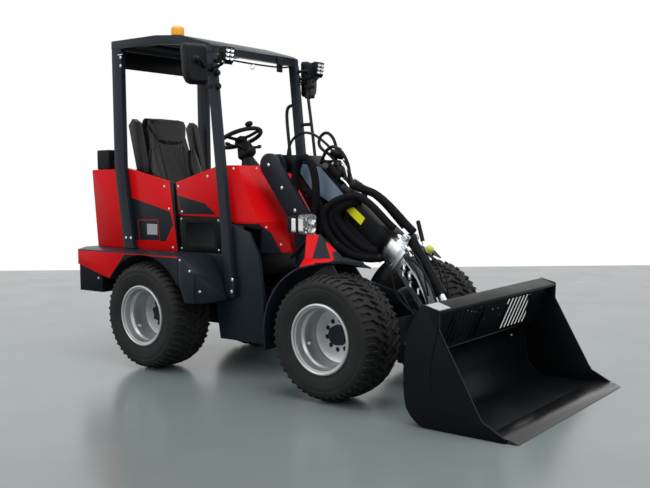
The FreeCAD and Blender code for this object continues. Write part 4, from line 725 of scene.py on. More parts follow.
def tread_bar(name, outline, height):
    """Flat outline (along the tread, across it) raised and wrapped round the tyre."""
    bar = outline_solid(name, [(a, y, 0) for a, y in outline], (0, 0, height))
    bevel(bar, 0.0028, 1, 40)
    for v in bar.data.vertices:
        turn = v.co.x / TYRE_R
        droop = 0.005 if v.co.z < height / 2 else 0.0
        r = min(carcass_r(v.co.y) + v.co.z - droop, TYRE_R - 0.0003)
        v.co = Vector((r * sin(turn), v.co.y, r * cos(turn)))
    return bar


def tyre():
    """Flotation tyre standing at the origin: bulging walls, hooked shoulder lugs, zigzag middle."""
    half = mm([(142.5, 205), (152, 209.5), (161, 226), (168.5, 252), (171.8, 280), (172, 292), (170.2, 295.5),
        (170.2, 301.5), (171.2, 305), (169, 318), (163, 331)])
    crown = [(y, carcass_r(y)) for y in (0.150, 0.134, 0.10, 0.05, 0.0)]
    side = half + crown
    profile = side + [(-y, r) for y, r in reversed(side[:-1])]
    body = turned("tyre_body", profile, (0, 0, 0), steps=96)
    w = 0.0085                  # half the width of a hooked lug
    hook = [(-w, 0.164), (-w, 0.100), (0.034, 0.046), (0.046, 0.055), (w * 1.1, 0.104), (w, 0.164)]
    stub = mm([(40, 158), (40, 116), (62, 86), (76, 96), (58, 120), (57, 158)])
    zig = mm([(0, -34), (30, 0), (0, 34), (13, 41), (48, 0), (13, -41)])
    bars = []
    for mirror, offset in ((1, 0.0), (-1, 0.5)):
        for outline, height in ((hook, 0.0152), (stub, 0.013)):
            bars.append(tread_bar("bar", [(a + offset * PITCH, y * mirror) for a, y in outline][::mirror], height))
    for offset in (-0.2, 0.3):
        bars.append(tread_bar("bar", [(a + offset * PITCH, y) for a, y in zig], 0.0150))
    ring = []
    for bar in bars:
        for i in range(TREAD_PITCHES):
            ring.append(copied(bar, "bar", Matrix.Rotation(2 * pi * i / TREAD_PITCHES, 4, "Y")))
        bpy.data.objects.remove(bar)
    return smooth(joined("tyre", [body] + ring), 35)


def rim():
    """Deep wheel at the origin, its disc near the middle; +Y is outside."""
    outer = mm([(150, 204), (154.5, 206.2), (159.5, 204.5), (161, 199.5), (159, 195.5), (150, 193.5), (148.5, 186),
        (140, 183.8), (108, 182), (101, 179), (93, 170), (85, 166.8), (-20, 165.5)])
    inner = mm([(-85, 166.8), (-93, 170), (-101, 179), (-140, 183.8), (-148.5, 186), (-150, 193.5), (-159, 195.5),
        (-161, 199.5), (-159.5, 204.5), (-150, 204)])
    barrel = turned("barrel", outer + inner, (0, 0, 0), steps=96)
    tidy_faces(modified(barrel, "SOLIDIFY", thickness=0.004, offset=1.0))
    plate = mm([(-29.5, 62), (-29, 120), (-25, 148), (-18, 165.5), (-23.5, 165), (-31, 147), (-35, 120), (-35, 62)])
    disc = turned("disc", plate, (0, 0, 0), steps=96, closed=True)
    cutters = []
    for i in range(BOLT_HOLES):
        a = 2 * pi * (i + 0.5) / BOLT_HOLES
        x, z = BOLT_CIRCLE * cos(a), BOLT_CIRCLE * sin(a)
        cutters.append(drum("hole", (x, -0.08, z), (x, 0.02, z), 0.0145, 20))
    carve(disc, cutters)
    bevel(disc, 0.0012, 1, 50)
    x, z = cos(rad(205)), sin(rad(205))
    stem = drum("stem", (0.168 * x, 0.060, 0.168 * z), (0.150 * x, 0.080, 0.150 * z), 0.0075, 16, 0.0055)
    boss = drum("boss", (0.170 * x, 0.058, 0.170 * z), (0.160 * x, 0.064, 0.160 * z), 0.014, 20, 0.011)
    return smooth(joined("rim", [barrel, disc, stem, boss]), 35)


tyre_model = tyre()
rim_model = rim()
hub_cap = turned("hub_cap", mm([(0, 2), (2, 22), (-4, 26), (-6, 50), (-12, 54.5), (-30, 54.5)]), (0, 0, 0), steps=40)
smooth(hub_cap, 40)
for corner, x, side in (("front_right", FRONT_X, -1), ("front_left", FRONT_X, 1), ("rear_right", REAR_X, -1),
        ("rear_left", REAR_X, 1)):
    place = Matrix.Translation((x, side * HALF_TRACK, AXLE_Z)) @ Matrix.Rotation(rad(11 * x), 4, "Y")
    flip = ACROSS if side < 0 else Matrix.Identity(4)
    done(copied(tyre_model, "tyre_" + corner + "_rubber", place @ flip), "wheel_" + corner, rubber,
        ("tyre_" + corner,))
    done(copied(rim_model, "rim_" + corner + "_steel", place @ flip), "wheel_" + corner, plate_silver,
        ("rim_" + corner,))
    hub_place = Matrix.Translation((x, side * (HALF_TRACK - 0.006), AXLE_Z))
    done(copied(hub_cap, "hub_cap_" + corner, hub_place @ flip), "front_frame" if x > 0 else "rear_frame", cast)
for spare in (tyre_model, rim_model, hub_cap):
    bpy.data.objects.remove(spare)


# ---- Seat: cushions swelled by simulation, sewn channels pressed in afterwards ----

SEAT_HINGE = Vector((-1.2400, 0.0, 1.088))
LEAN = Matrix.Translation(SEAT_HINGE) @ Matrix.Rotation(rad(-14), 4, "Y")
SEAT_Z = 1.020                  # underside of the seat cushion
FLAT = Matrix.Translation((-1.046, 0.0, SEAT_Z))
SWELL_STEPS = 20


def cushion(name, outline, low, depth, place, direction="X", cap=0.022, channels=None):
    """Swelled pad: an outline drawn out by its depth, inflated, then pressed in along its channels."""
    if direction == "X":
        points, move = [(low, a, b) for a, b in outline], (depth, 0, 0)
    else:
        points, move = [(a, b, low) for a, b in outline], (0, 0, depth)
    pad = outline_solid(name, points, move)
    bevel(pad, depth * 0.3, 3, 25)
    only(pad)
    pad.data.remesh_voxel_size = 0.006
    bpy.ops.object.voxel_remesh()
    start = [v.co.copy() for v in pad.data.vertices]
    swell = pad.modifiers.new("swell", "CLOTH")
    swell.settings.use_pressure = True
    swell.settings.uniform_pressure_force = 4.0
    swell.settings.effector_weights.gravity = 0.0
    for step in range(1, SWELL_STEPS + 1):
        scene.frame_set(step)
    only(pad)
    bpy.ops.object.modifier_apply(modifier=swell.name)
    scene.frame_set(1)
    for v, old in zip(pad.data.vertices, start):
        gone = v.co - old
        if gone.length > cap:
            v.co = old + gone.normalized() * cap
    modified(pad, "SUBSURF", levels=1, render_levels=1)
    if channels:
        for v in pad.data.vertices:
            v.co -= Vector(move).normalized() * channels(v.co)
    done(moved(smooth(pad, 60), place), "rear_frame", vinyl)
    return pad


def groove(distance, width, depth):
    """Depth pressed in near a seam."""
    return depth * math.exp(-(distance / width) ** 2)


def back_seams(co):
    """Upright channels down the middle of the back, between two side seams."""
    if co.x < -0.045 or not 0.05 < co.z < 0.50:
        return 0.0
    fade = min(1.0, (co.z - 0.05) / 0.03, (0.50 - co.z) / 0.03)
    press = sum(groove(co.y - y, 0.0045, 0.008) for y in (-0.08, -0.0533, -0.0267, 0.0, 0.0267, 0.0533, 0.08))
    edge = 0.105 + 0.05 * max(0.0, (co.z - 0.25))
    return fade * (press + groove(abs(co.y) - edge, 0.007, 0.014))


def seat_seams(co):
    """Cross channels of the seat between its side seams."""
    if co.z < 0.06:
        return 0.0
    inside = abs(co.y) < 0.125
    press = sum(groove(co.x - x, 0.0045, 0.007) for x in (-0.11, -0.07, -0.03, 0.01, 0.05, 0.09)) if inside else 0.0
    return press + (groove(abs(co.y) - 0.135, 0.007, 0.013) if abs(co.x) < 0.20 else 0.0)


def mirrored(half):
    return half + [(-a, b) for a, b in reversed(half) if abs(a) > 1e-6]


back_half = mm([(0, 30), (190, 30), (224, 75), (232, 300), (226, 400), (208, 520), (192, 640), (150, 690), (0, 699)])
cushion("seat_back_pad", mirrored(back_half), -0.078, 0.052, LEAN, cap=0.016, channels=back_seams)
head_half = mm([(0, 482), (70, 487), (130, 508), (172, 565), (196, 640), (184, 684), (125, 703), (0, 707)])
cushion("seat_head_pad", mirrored(head_half), -0.030, 0.026, LEAN, cap=0.012)
bolster = mm([(130, 60), (226, 40), (250, 100), (255, 280), (240, 380), (212, 470), (176, 460), (150, 360),
    (138, 250)])
for side, tag in SIDES:
    cushion("seat_bolster_" + tag, [(y * side, z) for y, z in bolster][::side], -0.046, 0.066, LEAN, cap=0.020)
seat_half = mm([(-205, 0), (-205, 190), (-170, 222), (150, 226), (195, 190), (208, 0)])
seat_plan = seat_half + [(x, -y) for x, y in reversed(seat_half) if y > 0]
cushion("seat_cushion_pad", seat_plan[::-1], 0.018, 0.060, FLAT, "Z", 0.022, seat_seams)
pan = dressed("seat_cushion", "seat_cushion_pan", "rear_frame", plastic.under("seat_vinyl"), 0.004)
moved(pan, Matrix.Translation((0, 0, SEAT_Z)) @ Matrix.Scale(0.42, 4, (0, 0, 1))
    @ Matrix.Translation((0, 0, -SEAT_Z)))
shell_half = mm([(0, 2), (226, 2), (244, 30), (245, 330), (238, 430), (222, 550), (204, 660), (162, 716), (0, 719)])
shell = outline_solid("seat_back_shell", [(-0.090, y, z) for y, z in mirrored(shell_half)], (0.030, 0, 0))
bevel(shell, 0.012, 3, 25)
done(smooth(moved(shell, LEAN)), "rear_frame", plastic.under("seat_vinyl"), ("seat_backrest",))
arms = dressed("seat_armrests", "seat_arms", "rear_frame", vinyl, 0.010, 3)
moved(arms, Matrix.Translation((0.0543, 0, 0.026)))
for side, tag in SIDES:
    patch = sided(bevel(block("arm_patch_" + tag, (-0.0052, 0.270, 0.560), (-0.0022, 0.302, 0.632)), 0.0012), side)
    done(smooth(moved(patch, LEAN)), "rear_frame", pale_plate)
    pivot = sided(turned("arm_pivot_" + tag, mm([(0, 0), (0, 26), (4, 30), (10, 28), (12, 18), (12, 0)]),
        (-0.050, 0.310, 0.300), steps=28), side)
    done(smooth(moved(pivot, LEAN)), "rear_frame", plastic)
belt_reel = bevel(block("belt_reel", (-1.40, -0.300, 1.045), (-1.33, -0.262, 1.115)), 0.008, 3)
done(smooth(belt_reel), "rear_frame", plastic)


# ---- Boom: plates, a sheet of painted reflection, sleeved hose bundles, valve block and its steel pipes ----

BOOM = Matrix(((0.788, 0, 0.6157, -0.214), (0, 1, 0, 0), (-0.6157, 0, 0.788, 1.390), (0, 0, 0, 1)))
BOOM_TOP = 0.192


def boom_line(points):
    return [BOOM @ Vector(p) for p in points]


def rings(name, points, radius, width, spots, body, look):
    """Clamp bands set round a hose at parts of its length."""
    line = [Vector(p) for p in points]
    made = []
    for spot in spots:
        i = min(int(spot * (len(line) - 1)), len(line) - 2)
        t = spot * (len(line) - 1) - i
        at = line[i].lerp(line[i + 1], t)
        run = (line[i + 1] - line[i]).normalized()
        made.append(turned(name, [(-width, radius * 0.9), (-width, radius), (-width * 0.8, radius * 1.08),
            (width * 0.8, radius * 1.08), (width, radius), (width, radius * 0.9)], at, run, steps=24))
    return done(smooth(joined(name, made), 40), body, look)


def nut(name, start, end, radius, body):
    """Hexagon nut or fitting with chamfered corners."""
    piece = bevel(drum(name, start, end, radius, 6), radius * 0.12, 2, 20)
    return done(smooth(piece, 20), body, zinc)


for name, low, high, look in (("boom_blank_plate", (0.594, 0.102), (0.764, 0.158), yellow_plate),
        ("boom_end_plate", (0.566, 0.122), (0.592, 0.158), pale_plate)):
    plate = moved(block(name, (low[0], -0.0768, low[1]), (high[0], -0.0745, high[1])), BOOM)
    done(bevel(plate, 0.0008), "boom", look)
# Thin grey-blue sheet on the boom's near side, where its glossy dark paint reflects light: a painted reflection, not
# a plate.
reflection_sheet = outline_solid("boom_side_painted_reflection", upright(-0.0755, [(-30, 1395), (128, 1372), (325, 1187), (238, 1128),
    (60, 1215), (-35, 1330)]), (0, -0.0022, 0))
done(bevel(reflection_sheet, 0.0008), "boom", painted_reflection_coat)

near = mm([(470, -40, 1172), (440, -75, 1182), (361, -128, 1176), (262, -148, 1135), (214, -148, 1060),
    (226, -148, 975), (295, -147, 888), (400, -145, 822), (510, -138, 795), (600, -112, 796), (632, -85, 806)])
beside = mm([(430, -45, 1152), (395, -85, 1145), (340, -118, 1120), (298, -122, 1080), (300, -116, 1030),
    (345, -108, 972), (405, -104, 918), (472, -102, 872), (540, -100, 842), (590, -96, 838)])
between = mm([(430, -50, 1165), (400, -85, 1160), (335, -118, 1140), (275, -125, 1095), (256, -122, 1030),
    (290, -116, 960), (350, -110, 895), (430, -106, 842), (515, -104, 812), (590, -98, 812)])
under = mm([(345, -60, 1080), (322, -70, 1045), (350, -72, 995), (420, -72, 937), (490, -72, 883), (560, -70, 840)])
for name, points, radius in (("sleeve_near", near, 0.0245), ("sleeve_beside", beside, 0.0300),
        ("sleeve_between", between, 0.0300), ("sleeve_under", under, 0.0260)):
    line_run(name, points, radius, "boom", sleeve, 5, 10)
rings("sleeve_near_clamps", near, 0.0245, 0.007, (0.33, 0.62, 0.93), "boom", plastic.under("hose_rubber"))
over = mm([(330, -20, 1262), (400, -30, 1238), (455, -35, 1222), (530, -30, 1198), (610, -22, 1140), (690, -16, 1066),
    (745, -12, 1010), (800, -10, 962)])
sleeve_over = hose("sleeve_over", over, 0.026, 10, 5)
done(sleeve_over, None, sleeve, ("boom_hoses",))
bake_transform(sleeve_over)
side_line = mm([(330, -62, 1218), (400, -74, 1186), (465, -78, 1170), (535, -76, 1128), (600, -70, 1066),
    (655, -64, 1012), (690, -60, 985)])
line_run("sleeve_side", side_line, 0.0235, "boom", sleeve, 5, 10)
far_line = mm([(320, 42, 1260), (400, 46, 1226), (480, 46, 1190), (570, 44, 1120), (650, 42, 1040), (700, 40, 992)])
line_run("sleeve_far", far_line, 0.022, "boom", sleeve, 5, 10)
cuffs = []
for a, b, r in (((0.300, -0.020, 1.285), (0.372, -0.024, 1.250), 0.030),
        ((0.300, -0.060, 1.240), (0.366, -0.068, 1.205), 0.027),
        ((0.290, 0.040, 1.282), (0.356, 0.044, 1.246), 0.026)):
    run = (Vector(b) - Vector(a))
    steps = []
    for i in range(6):
        along = run.length * i / 5
        steps += [(along, r * 0.90), (along + run.length * 0.07, r), (along + run.length * 0.12, r * 0.90)]
    cuffs.append(turned("cuff", [(0.0, 0.0)] + steps + [(steps[-1][0], 0.0)], a, run, steps=28))
done(smooth(joined("sleeve_cuffs", cuffs), 40), "boom", grip_rubber.under("hose_rubber"))

valve = block("valve_body", (0.325, -0.066, BOOM_TOP + 0.010), (0.440, 0.040, BOOM_TOP + 0.070))
inset(valve, facing("z"), 0.012, 0.006)
push(valve, facing("x"), (0.012, 0, 0), (1, 0.8, 0.7))
bevel(valve, 0.003, 2, 25)
done(smooth(moved(valve, BOOM), 30), "boom", black_paint)
foot = bevel(block("valve_bracket", (0.300, -0.070, BOOM_TOP), (0.480, 0.046, BOOM_TOP + 0.0105)), 0.002)
done(moved(foot, BOOM), "boom", black_paint)
for i, y in enumerate((-0.052, -0.026, 0.0, 0.026)):
    nut("valve_cap_%d" % i, *boom_line([(0.340, y, BOOM_TOP + 0.068), (0.340, y, BOOM_TOP + 0.086)]), 0.011, "boom")
    nut("valve_port_%d" % i, *boom_line([(0.449, y, BOOM_TOP + 0.040), (0.470, y, BOOM_TOP + 0.040)]), 0.0115, "boom")
    run = [(0.466, y, BOOM_TOP + 0.040), (0.500, y, BOOM_TOP + 0.042), (0.528, y * 1.1, BOOM_TOP + 0.036),
        (0.560, y * 1.2, BOOM_TOP + 0.026)]
    line_run("valve_pipe_%d" % i, boom_line(run), 0.0068, "boom", chrome)
    run = [(0.330, y, BOOM_TOP + 0.046), (0.296, y, BOOM_TOP + 0.060), (0.270, y, BOOM_TOP + 0.046),
        (0.250, y, BOOM_TOP + 0.022)]
    line_run("valve_feed_%d" % i, boom_line(run), 0.0075, "boom", hose_rubber)
for i, (y, z) in enumerate(((-0.050, 0.112), (-0.030, 0.124), (0.006, 0.118), (0.030, 0.108))):
    run = [(0.300, y, BOOM_TOP + 0.062), (0.345, y, BOOM_TOP + z), (0.400, y, BOOM_TOP + z - 0.006),
        (0.462, y, BOOM_TOP + 0.070), (0.495, y, BOOM_TOP + 0.050)]
    line_run("valve_bridge_%d" % i, boom_line(run), 0.0062, "boom",
        (chrome if i % 2 else hose_rubber).under("zinc_steel"))
store = turned("accumulator", mm([(-34, 0), (-33, 20), (-24, 38), (-8, 47), (-4, 49.5), (4, 49.5), (8, 47), (24, 38),
    (33, 20), (36, 14), (50, 13), (50, 0)]), (0.224, -0.016, 1.448), (0.25, 0.30, 1.0), steps=40)
done(smooth(store, 30), "boom", black_paint)
stand = upright(-0.016, [(224, 1425), (215, 1370), (220, 1320), (240, 1280)])
line_run("accumulator_stand", stand, 0.011, "boom", zinc, 4, 6)

loops = (
    ("loop_oval", 0.0105, mm([(250, -30, 1330), (235, -42, 1400), (196, -52, 1448), (140, -55, 1478),
        (100, -52, 1515), (104, -46, 1566), (148, -36, 1600), (194, -24, 1570), (214, -12, 1505), (212, 4, 1440),
        (215, 12, 1370), (235, 14, 1310)])),
    ("loop_wide", 0.0110, mm([(110, -40, 1395), (140, -56, 1436), (180, -70, 1480), (236, -76, 1506),
        (300, -72, 1472), (340, -60, 1400), (350, -50, 1325), (335, -46, 1275)])),
    ("loop_tall", 0.0090, mm([(180, 36, 1330), (168, 50, 1420), (120, 62, 1490), (50, 66, 1545), (-30, 64, 1596),
        (-110, 60, 1612), (-185, 55, 1590), (-235, 50, 1530), (-250, 45, 1450), (-245, 45, 1380)])),
)
for name, radius, points in loops:
    line_run(name, points, radius, "boom", hose_rubber, 4, 10)


# ---- Tower: sleeved arch between plate and cover, two hoses, and the tips of the fenders ----

FENDER_R = 0.4335               # underside of the front fenders

arch = upright(-0.149, [(-20, 1060), (-24, 1180), (-24, 1300), (-10, 1402), (50, 1446), (112, 1404), (146, 1310),
    (155, 1190), (142, 1090), (110, 1000), (70, 930)])
line_run("tower_sleeve", arch, 0.0250, "front_frame", sleeve, 5, 10)
rings("tower_sleeve_clamps", arch, 0.0250, 0.007, (0.15, 0.85), "front_frame", plastic.under("hose_rubber"))
low_hose = mm([(-70, -141, 775), (-30, -141.5, 808), (20, -141.5, 860), (75, -141.5, 900), (140, -141.5, 880),
    (200, -141.5, 840)])
mid_hose = mm([(20, -118, 1230), (100, -118, 1200), (155, -116, 1130), (185, -114, 1040), (180, -112, 960),
    (140, -112, 900)])
line_run("tower_hose_mid", mid_hose, 0.0220, "front_frame", sleeve)
line_run("tower_hose_low", low_hose, 0.0110, "front_frame", hose_rubber)


for side, tag in SIDES:
    lip_line = mm([(694, 396), (752, 396), (752, 410), (640, 520), (520, 625), (500, 612)])
    apron = outline_solid("fender_apron", [(x, y * side, 0.0) for x, y in lip_line], (0, 0, 0.006))
    for v in apron.data.vertices:
        v.co.z += AXLE_Z + math.sqrt(FENDER_R ** 2 - (v.co.x - FRONT_X) ** 2)
    done(smooth(tidy_faces(apron), 30), "front_frame", plastic)


# ---- Lamps, mirrors, beacon and knobs: modelled for the right side, then mirrored ----

def both(name, piece, body, look, replaces=()):
    """Finish a right-hand piece and its mirror image."""
    twin = copied(piece, name + "_left", ACROSS)
    piece.name = piece.data.name = name + "_right"
    done(piece, body, look, replaces)
    done(twin, body, look)


def led_face(x, low, high, rows, columns):
    """Square reflector cups in a grid, opening forward at x; low and high are (y, z) corners."""
    cups = []
    dy, dz = (high[0] - low[0]) / columns, (high[1] - low[1]) / rows
    cup = turned("cup", mm([(-7, 0), (-7, 100), (-1, 460), (0, 500), (-9, 500), (-9, 0)]), (0, 0, 0), (1, 0, 0), 16)
    for v in cup.data.vertices:
        v.co.y, v.co.z = v.co.y * dy * 0.94, v.co.z * dz * 0.94
    for i in range(columns):
        for j in range(rows):
            cups.append(copied(cup, "cup", Matrix.Translation((x, low[0] + dy * (i + 0.5), low[1] + dz * (j + 0.5)))))
    bpy.data.objects.remove(cup)
    return smooth(joined("cups", cups), 40)


lamp = bevel(block("lamp_case", (-0.426, -0.455, 2.060), (-0.386, -0.367, 2.150)), 0.007, 3, 30)
inset(lamp, lambda c, n: n.x > 0.9 and abs(c.y + 0.411) < 0.03, 0.004, -0.006)
fins = [block("fin", (-0.446, -0.447 + i * 0.0098, 2.068), (-0.424, -0.4432 + i * 0.0098, 2.142)) for i in range(8)]
case = joined("lamp_case", [lamp] + fins)
LAMP_AIM = (Matrix.Translation((-0.311, -0.471, 2.097)) @ Matrix.Rotation(rad(8), 4, "Y")
    @ Matrix.Translation((0.411, 0.411, -2.105)))
both("work_lamp_case", smooth(moved(case, LAMP_AIM), 30), "rear_frame", plastic)
cups = led_face(-0.3840, (-0.449, 2.066), (-0.373, 2.144), 3, 2)
both("work_lamp_cups", moved(cups, LAMP_AIM), "rear_frame", led)
yoke = outline_solid("lamp_yoke", upright(-0.462, [(-476, 2052), (-470, 2044), (-410, 2040), (-396, 2058),
    (-402, 2112), (-414, 2112), (-416, 2064), (-470, 2064)]), (0, 0.004, 0))
base = bevel(block("yoke_base", (-0.478, -0.462, 2.042), (-0.404, -0.360, 2.047)), 0.001, 1)
yokes = joined("yoke", [yoke, copied(yoke, "yoke", Matrix.Translation((0, 0.098, 0))), base])
both("work_lamp_yoke", moved(yokes, LAMP_AIM), "rear_frame", black_paint.under("zinc_steel"), ("work_lamps",))
stem = hose("lamp_stem", mm([(-505, -440, 2036), (-450, -452, 2028), (-390, -466, 2026), (-352, -471, 2040)]),
    0.010, 6, 4)
both("work_lamp_stem", stem, "rear_frame", black_paint.under("zinc_steel"))
lead = hose("lamp_lead", mm([(-338, -460, 2062), (-372, -452, 2046), (-425, -447, 2008), (-470, -445, 1975),
    (-492, -440, 1930)]), 0.0040, 6, 3)
both("work_lamp_lead", lead, "rear_frame", hose_rubber.under("black_plastic"))

MIRROR_TURN = about((-0.494, -0.584, 0), -17, "Z")
mirror_edge = mm([(-512, 2166), (-648, 2166), (-666, 2158), (-672, 2136), (-662, 1990), (-654, 1948), (-638, 1919),
    (-610, 1908), (-520, 1908), (-504, 1918), (-498, 1940), (-498, 2150)])
shell = outline_solid("mirror_shell", [(-0.518, y, z) for y, z in mirror_edge], (0.048, 0, 0))
push(shell, facing("x"), (0.024, 0, 0), (1, 0.80, 0.86))
bevel(shell, 0.013, 4, 24)
inset(shell, facing("x", -1), 0.004, -0.004)
both("mirror_case", smooth(moved(shell, MIRROR_TURN), 50), "rear_frame", plastic, ("mirrors",))
glass = outline_solid("mirror_glass", [(-0.5175, -0.584 + (y + 0.584) * 0.90, 2.04 + (z - 2.04) * 0.92)
    for y, z in mirror_edge], (0.0025, 0, 0))
bevel(glass, 0.0008)
both("mirror_glass", moved(glass, MIRROR_TURN), "rear_frame", mirror_glass)
socket = turned("mirror_joint", mm([(0, 26), (8, 26), (12, 18), (20, 16), (24, 19), (34, 19), (42, 12), (44, 0)]),
    (-0.450, -0.598, 2.058), (1, 0.1, 0.1), 28)
both("mirror_joint", smooth(moved(socket, MIRROR_TURN), 40), "rear_frame", plastic)
arm = hose("mirror_arm", mm([(-420, -612, 2062), (-410, -590, 2032), (-448, -530, 2006), (-492, -480, 2010),
    (-505, -440, 2020)]), 0.0090, 8, 4)
both("mirror_arm", arm, "rear_frame", black_paint.under("black_plastic"))
grip = bevel(block("mirror_clamp", (-0.545, -0.461, 2.010), (-0.462, -0.4445, 2.054)), 0.004)
both("mirror_clamp", grip, "rear_frame", plastic)
for i, z in enumerate((1.992, 1.905)):
    x = -0.476 + (z - 1.95) * -0.06
    knob = turned("clamp_knob", mm([(-30, 8), (0, 8), (0, 17), (3, 20), (16, 20), (20, 16), (21, 0)]),
        (x + 0.028, -0.424, z), (1, 0, 0.06), 24)
    strap = bevel(block("knob_strap", (x - 0.060, -0.4475, z - 0.014), (x + 0.006, -0.398, z + 0.014)), 0.004)
    done(smooth(joined("post_knob_%d" % i, [knob, strap]), 40), "rear_frame", plastic)

small = bevel(block("inner_mirror", (-0.480, 0.205, 2.060), (-0.466, 0.262, 2.165)), 0.006, 3)
inset(small, facing("x", -1), 0.005, -0.002)
stalk = hose("inner_mirror_stalk", mm([(-467, 240, 2110), (-440, 275, 2118), (-440, 350, 2106), (-480, 412, 2090)]),
    0.0060, 8, 3)
hub = turned("inner_mirror_ball", mm([(0, 14), (8, 13), (14, 7), (15, 0)]), (-0.467, 0.240, 2.110), (1, 0, 0), 20)
done(smooth(joined("inner_mirror", [small, stalk, hub]), 35), "rear_frame", plastic)

dome_spot = (-0.966, -0.284, 2.279)
foot = turned("beacon_foot", mm([(0, 46), (12, 46), (16, 43), (26, 41), (28, 0)]), dome_spot, (0, 0, 1), 40)
done(smooth(foot, 35), "rear_frame", plastic.under("amber_lens"), ("beacon",))
dome = turned("beacon_dome", mm([(27, 43.5), (30, 44.5), (74, 43.5), (86, 37), (92.5, 24), (94, 0)]), dome_spot,
    (0, 0, 1), 96)
for v in dome.data.vertices:
    out = Vector((v.co.x - dome_spot[0], v.co.y - dome_spot[1], 0))
    if out.length > 0.03:
        ripple = 1 + 0.030 * cos(24 * math.atan2(out.y, out.x)) + 0.008 * cos(v.co.z * 900)
        v.co.x, v.co.y = dome_spot[0] + out.x * ripple, dome_spot[1] + out.y * ripple
done(smooth(dome, 50), "rear_frame", amber)
core = turned("beacon_core", mm([(26, 17), (60, 17), (64, 10), (66, 0)]), dome_spot, (0, 0, 1), 24)
done(smooth(core, 40), "rear_frame", led)

for side, tag in SIDES:
    for i, (x, z) in enumerate(((-1.395, 2.180), (-1.397, 2.120), (-1.330, 0.880), (-1.384, 0.880))):
        screw("rear_post_bolt_%s%d" % (tag, i), (x, side * POST_Y, z), (0, side, 0), "rear_frame", radius=0.0085)
    for i, (x, z) in enumerate(((-0.322, 0.640), (-0.330, 0.560))):
        screw("post_foot_bolt_%s%d" % (tag, i), (x, side * POST_Y, z), (0, side, 0), "rear_frame", radius=0.010)
    trim = block("post_trim_" + tag, (-1.425, 0.4448, 2.196), (-1.372, 0.4462, 2.202))
    done(sided(trim, side), "rear_frame", zinc)
cable = hose("roof_cable", mm([(-495, -392, 2118), (-500, -330, 2104), (-502, -200, 2098), (-503, 0, 2096),
    (-504, 200, 2098), (-502, 330, 2104), (-495, 392, 2118)]), 0.0060, 8, 4)
done(cable, "rear_frame", hose_rubber.under("black_plastic"))
ring = turned("roof_ring", mm([(-3, 18), (0, 21), (3, 18), (0, 15)]), (-0.503, -0.02, 2.078), (0, 1, 0), 24,
    closed=True)
done(smooth(ring, 60), "rear_frame", zinc)

inner_rail = upright(RAIL_Y, [(-462, 1842), (-520, 1842), (-562, 1826), (-572, 1770), (-562, 1657), (-545, 1512),
    (-525, 1300), (-512, 1190), (-480, 1150), (-410, 1150)])
outer_rail = upright(RAIL_Y, [(-372, 1930), (-364, 1874), (-336, 1695), (-312, 1506), (-282, 1260), (-272, 1160),
    (-300, 1120), (-370, 1115)])
rails = [hose("rail", inner_rail, 0.0125, 8, 4), hose("rail", outer_rail, 0.0115, 8, 4),
    drum("rail_link", (-0.450, RAIL_Y, 1.693), (-0.338, RAIL_Y, 1.693), 0.0125, 20)]
done(smooth(joined("grab_rail_tubes", rails), 40), "rear_frame", dark_paint, ("grab_rails",))
stand = [drum("stand", (-0.366, 0.430, 1.880), (-0.372, 0.452, 2.090), 0.0180, 24),
    drum("stand_arm", (-0.470, 0.430, 2.082), (-0.372, 0.450, 2.080), 0.0110, 20)]
for z in (1.895, 1.965, 2.035):
    clamp = bevel(block("stand_clamp", (-0.396, 0.418, z - 0.013), (-0.336, 0.468, z + 0.013)), 0.006, 3)
    stand += [clamp, drum("clamp_pin", (-0.336, 0.443, z), (-0.326, 0.443, z), 0.010, 6)]
done(smooth(joined("mirror_stand", stand), 35), "rear_frame", plastic)


# ---- Steering wheel and its console ----

WHEEL = Matrix.Translation((-0.649, 0.0, 1.590)) @ Matrix.Rotation(rad(-24), 4, "Y")
WHEEL_R = 0.154                 # middle of the steering wheel's rim


clear()
bpy.ops.mesh.primitive_torus_add(major_radius=WHEEL_R, minor_radius=0.0150, major_segments=72, minor_segments=16)
rim_ring = named("wheel_rim")
for v in rim_ring.data.vertices:
    a = math.atan2(v.co.y, v.co.x)
    grip = max(0.0, WHEEL_R - math.hypot(v.co.x, v.co.y)) * 0.10 * cos(36 * a)
    v.co.x -= cos(a) * grip
    v.co.y -= sin(a) * grip
parts = [rim_ring]
for a in map(rad, (28, 152, 274)):
    spoke_line = ((0.020, -0.014), (0.060, -0.016), (0.110, -0.008), (0.152, 0.0))
    arm = hose("spoke", [(r * cos(a), r * sin(a), z) for r, z in spoke_line], 0.0135, 8, 4)
    for v in arm.data.vertices:
        v.co.z *= 0.8
    parts.append(arm)
hub = bevel(block("hub", (-0.034, -0.034, -0.0335), (0.034, 0.034, 0.004)), 0.009, 3)
inset(hub, facing("z"), 0.006, -0.0015)
parts.append(hub)
post = turned("spinner", mm([(0, 0), (0, 10), (14, 9), (17, 21), (22, 27), (36, 28), (43, 22), (46, 11), (46, 0)]),
    (0.149, -0.040, 0.004), (0, 0, 1), 28)
parts.append(post)
done(smooth(moved(joined("steering_wheel_rim", parts), WHEEL), 40), "steering_wheel", plastic, ("steering_wheel",))

head = block("console", (-0.048, -0.046, -0.140), (0.060, 0.046, -0.036))
pick(head, facing("z"))
bpy.ops.transform.resize(value=(0.62, 0.62, 1.0))
leave()
push(head, facing("z", -1), (0, 0, -0.022), (0.72, 0.72, 1.0))
push(head, facing("x", limit=0.7), (0.020, 0, -0.006), (1.0, 0.7, 0.7))
bevel(head, 0.010, 3, 20)
boot_steps = []
for i in range(5):
    z, r = -0.160 - 0.020 * i, 0.046 + 0.007 * i
    boot_steps += [(z, r - 0.006), (z - 0.008, r), (z - 0.014, r)]
boot = turned("boot", [(-0.158, 0.0)] + boot_steps + [(-0.262, 0.0)], (0, 0, 0), (0, 0, 1), 36)
stalk = turned("stalk", mm([(0, 0), (0, 16), (50, 14), (95, 9), (100, 12.5), (122, 13.5), (130, 8), (131, 0)]),
    (0.006, 0.036, -0.088), (0.12, 1.0, 0.14), 24)
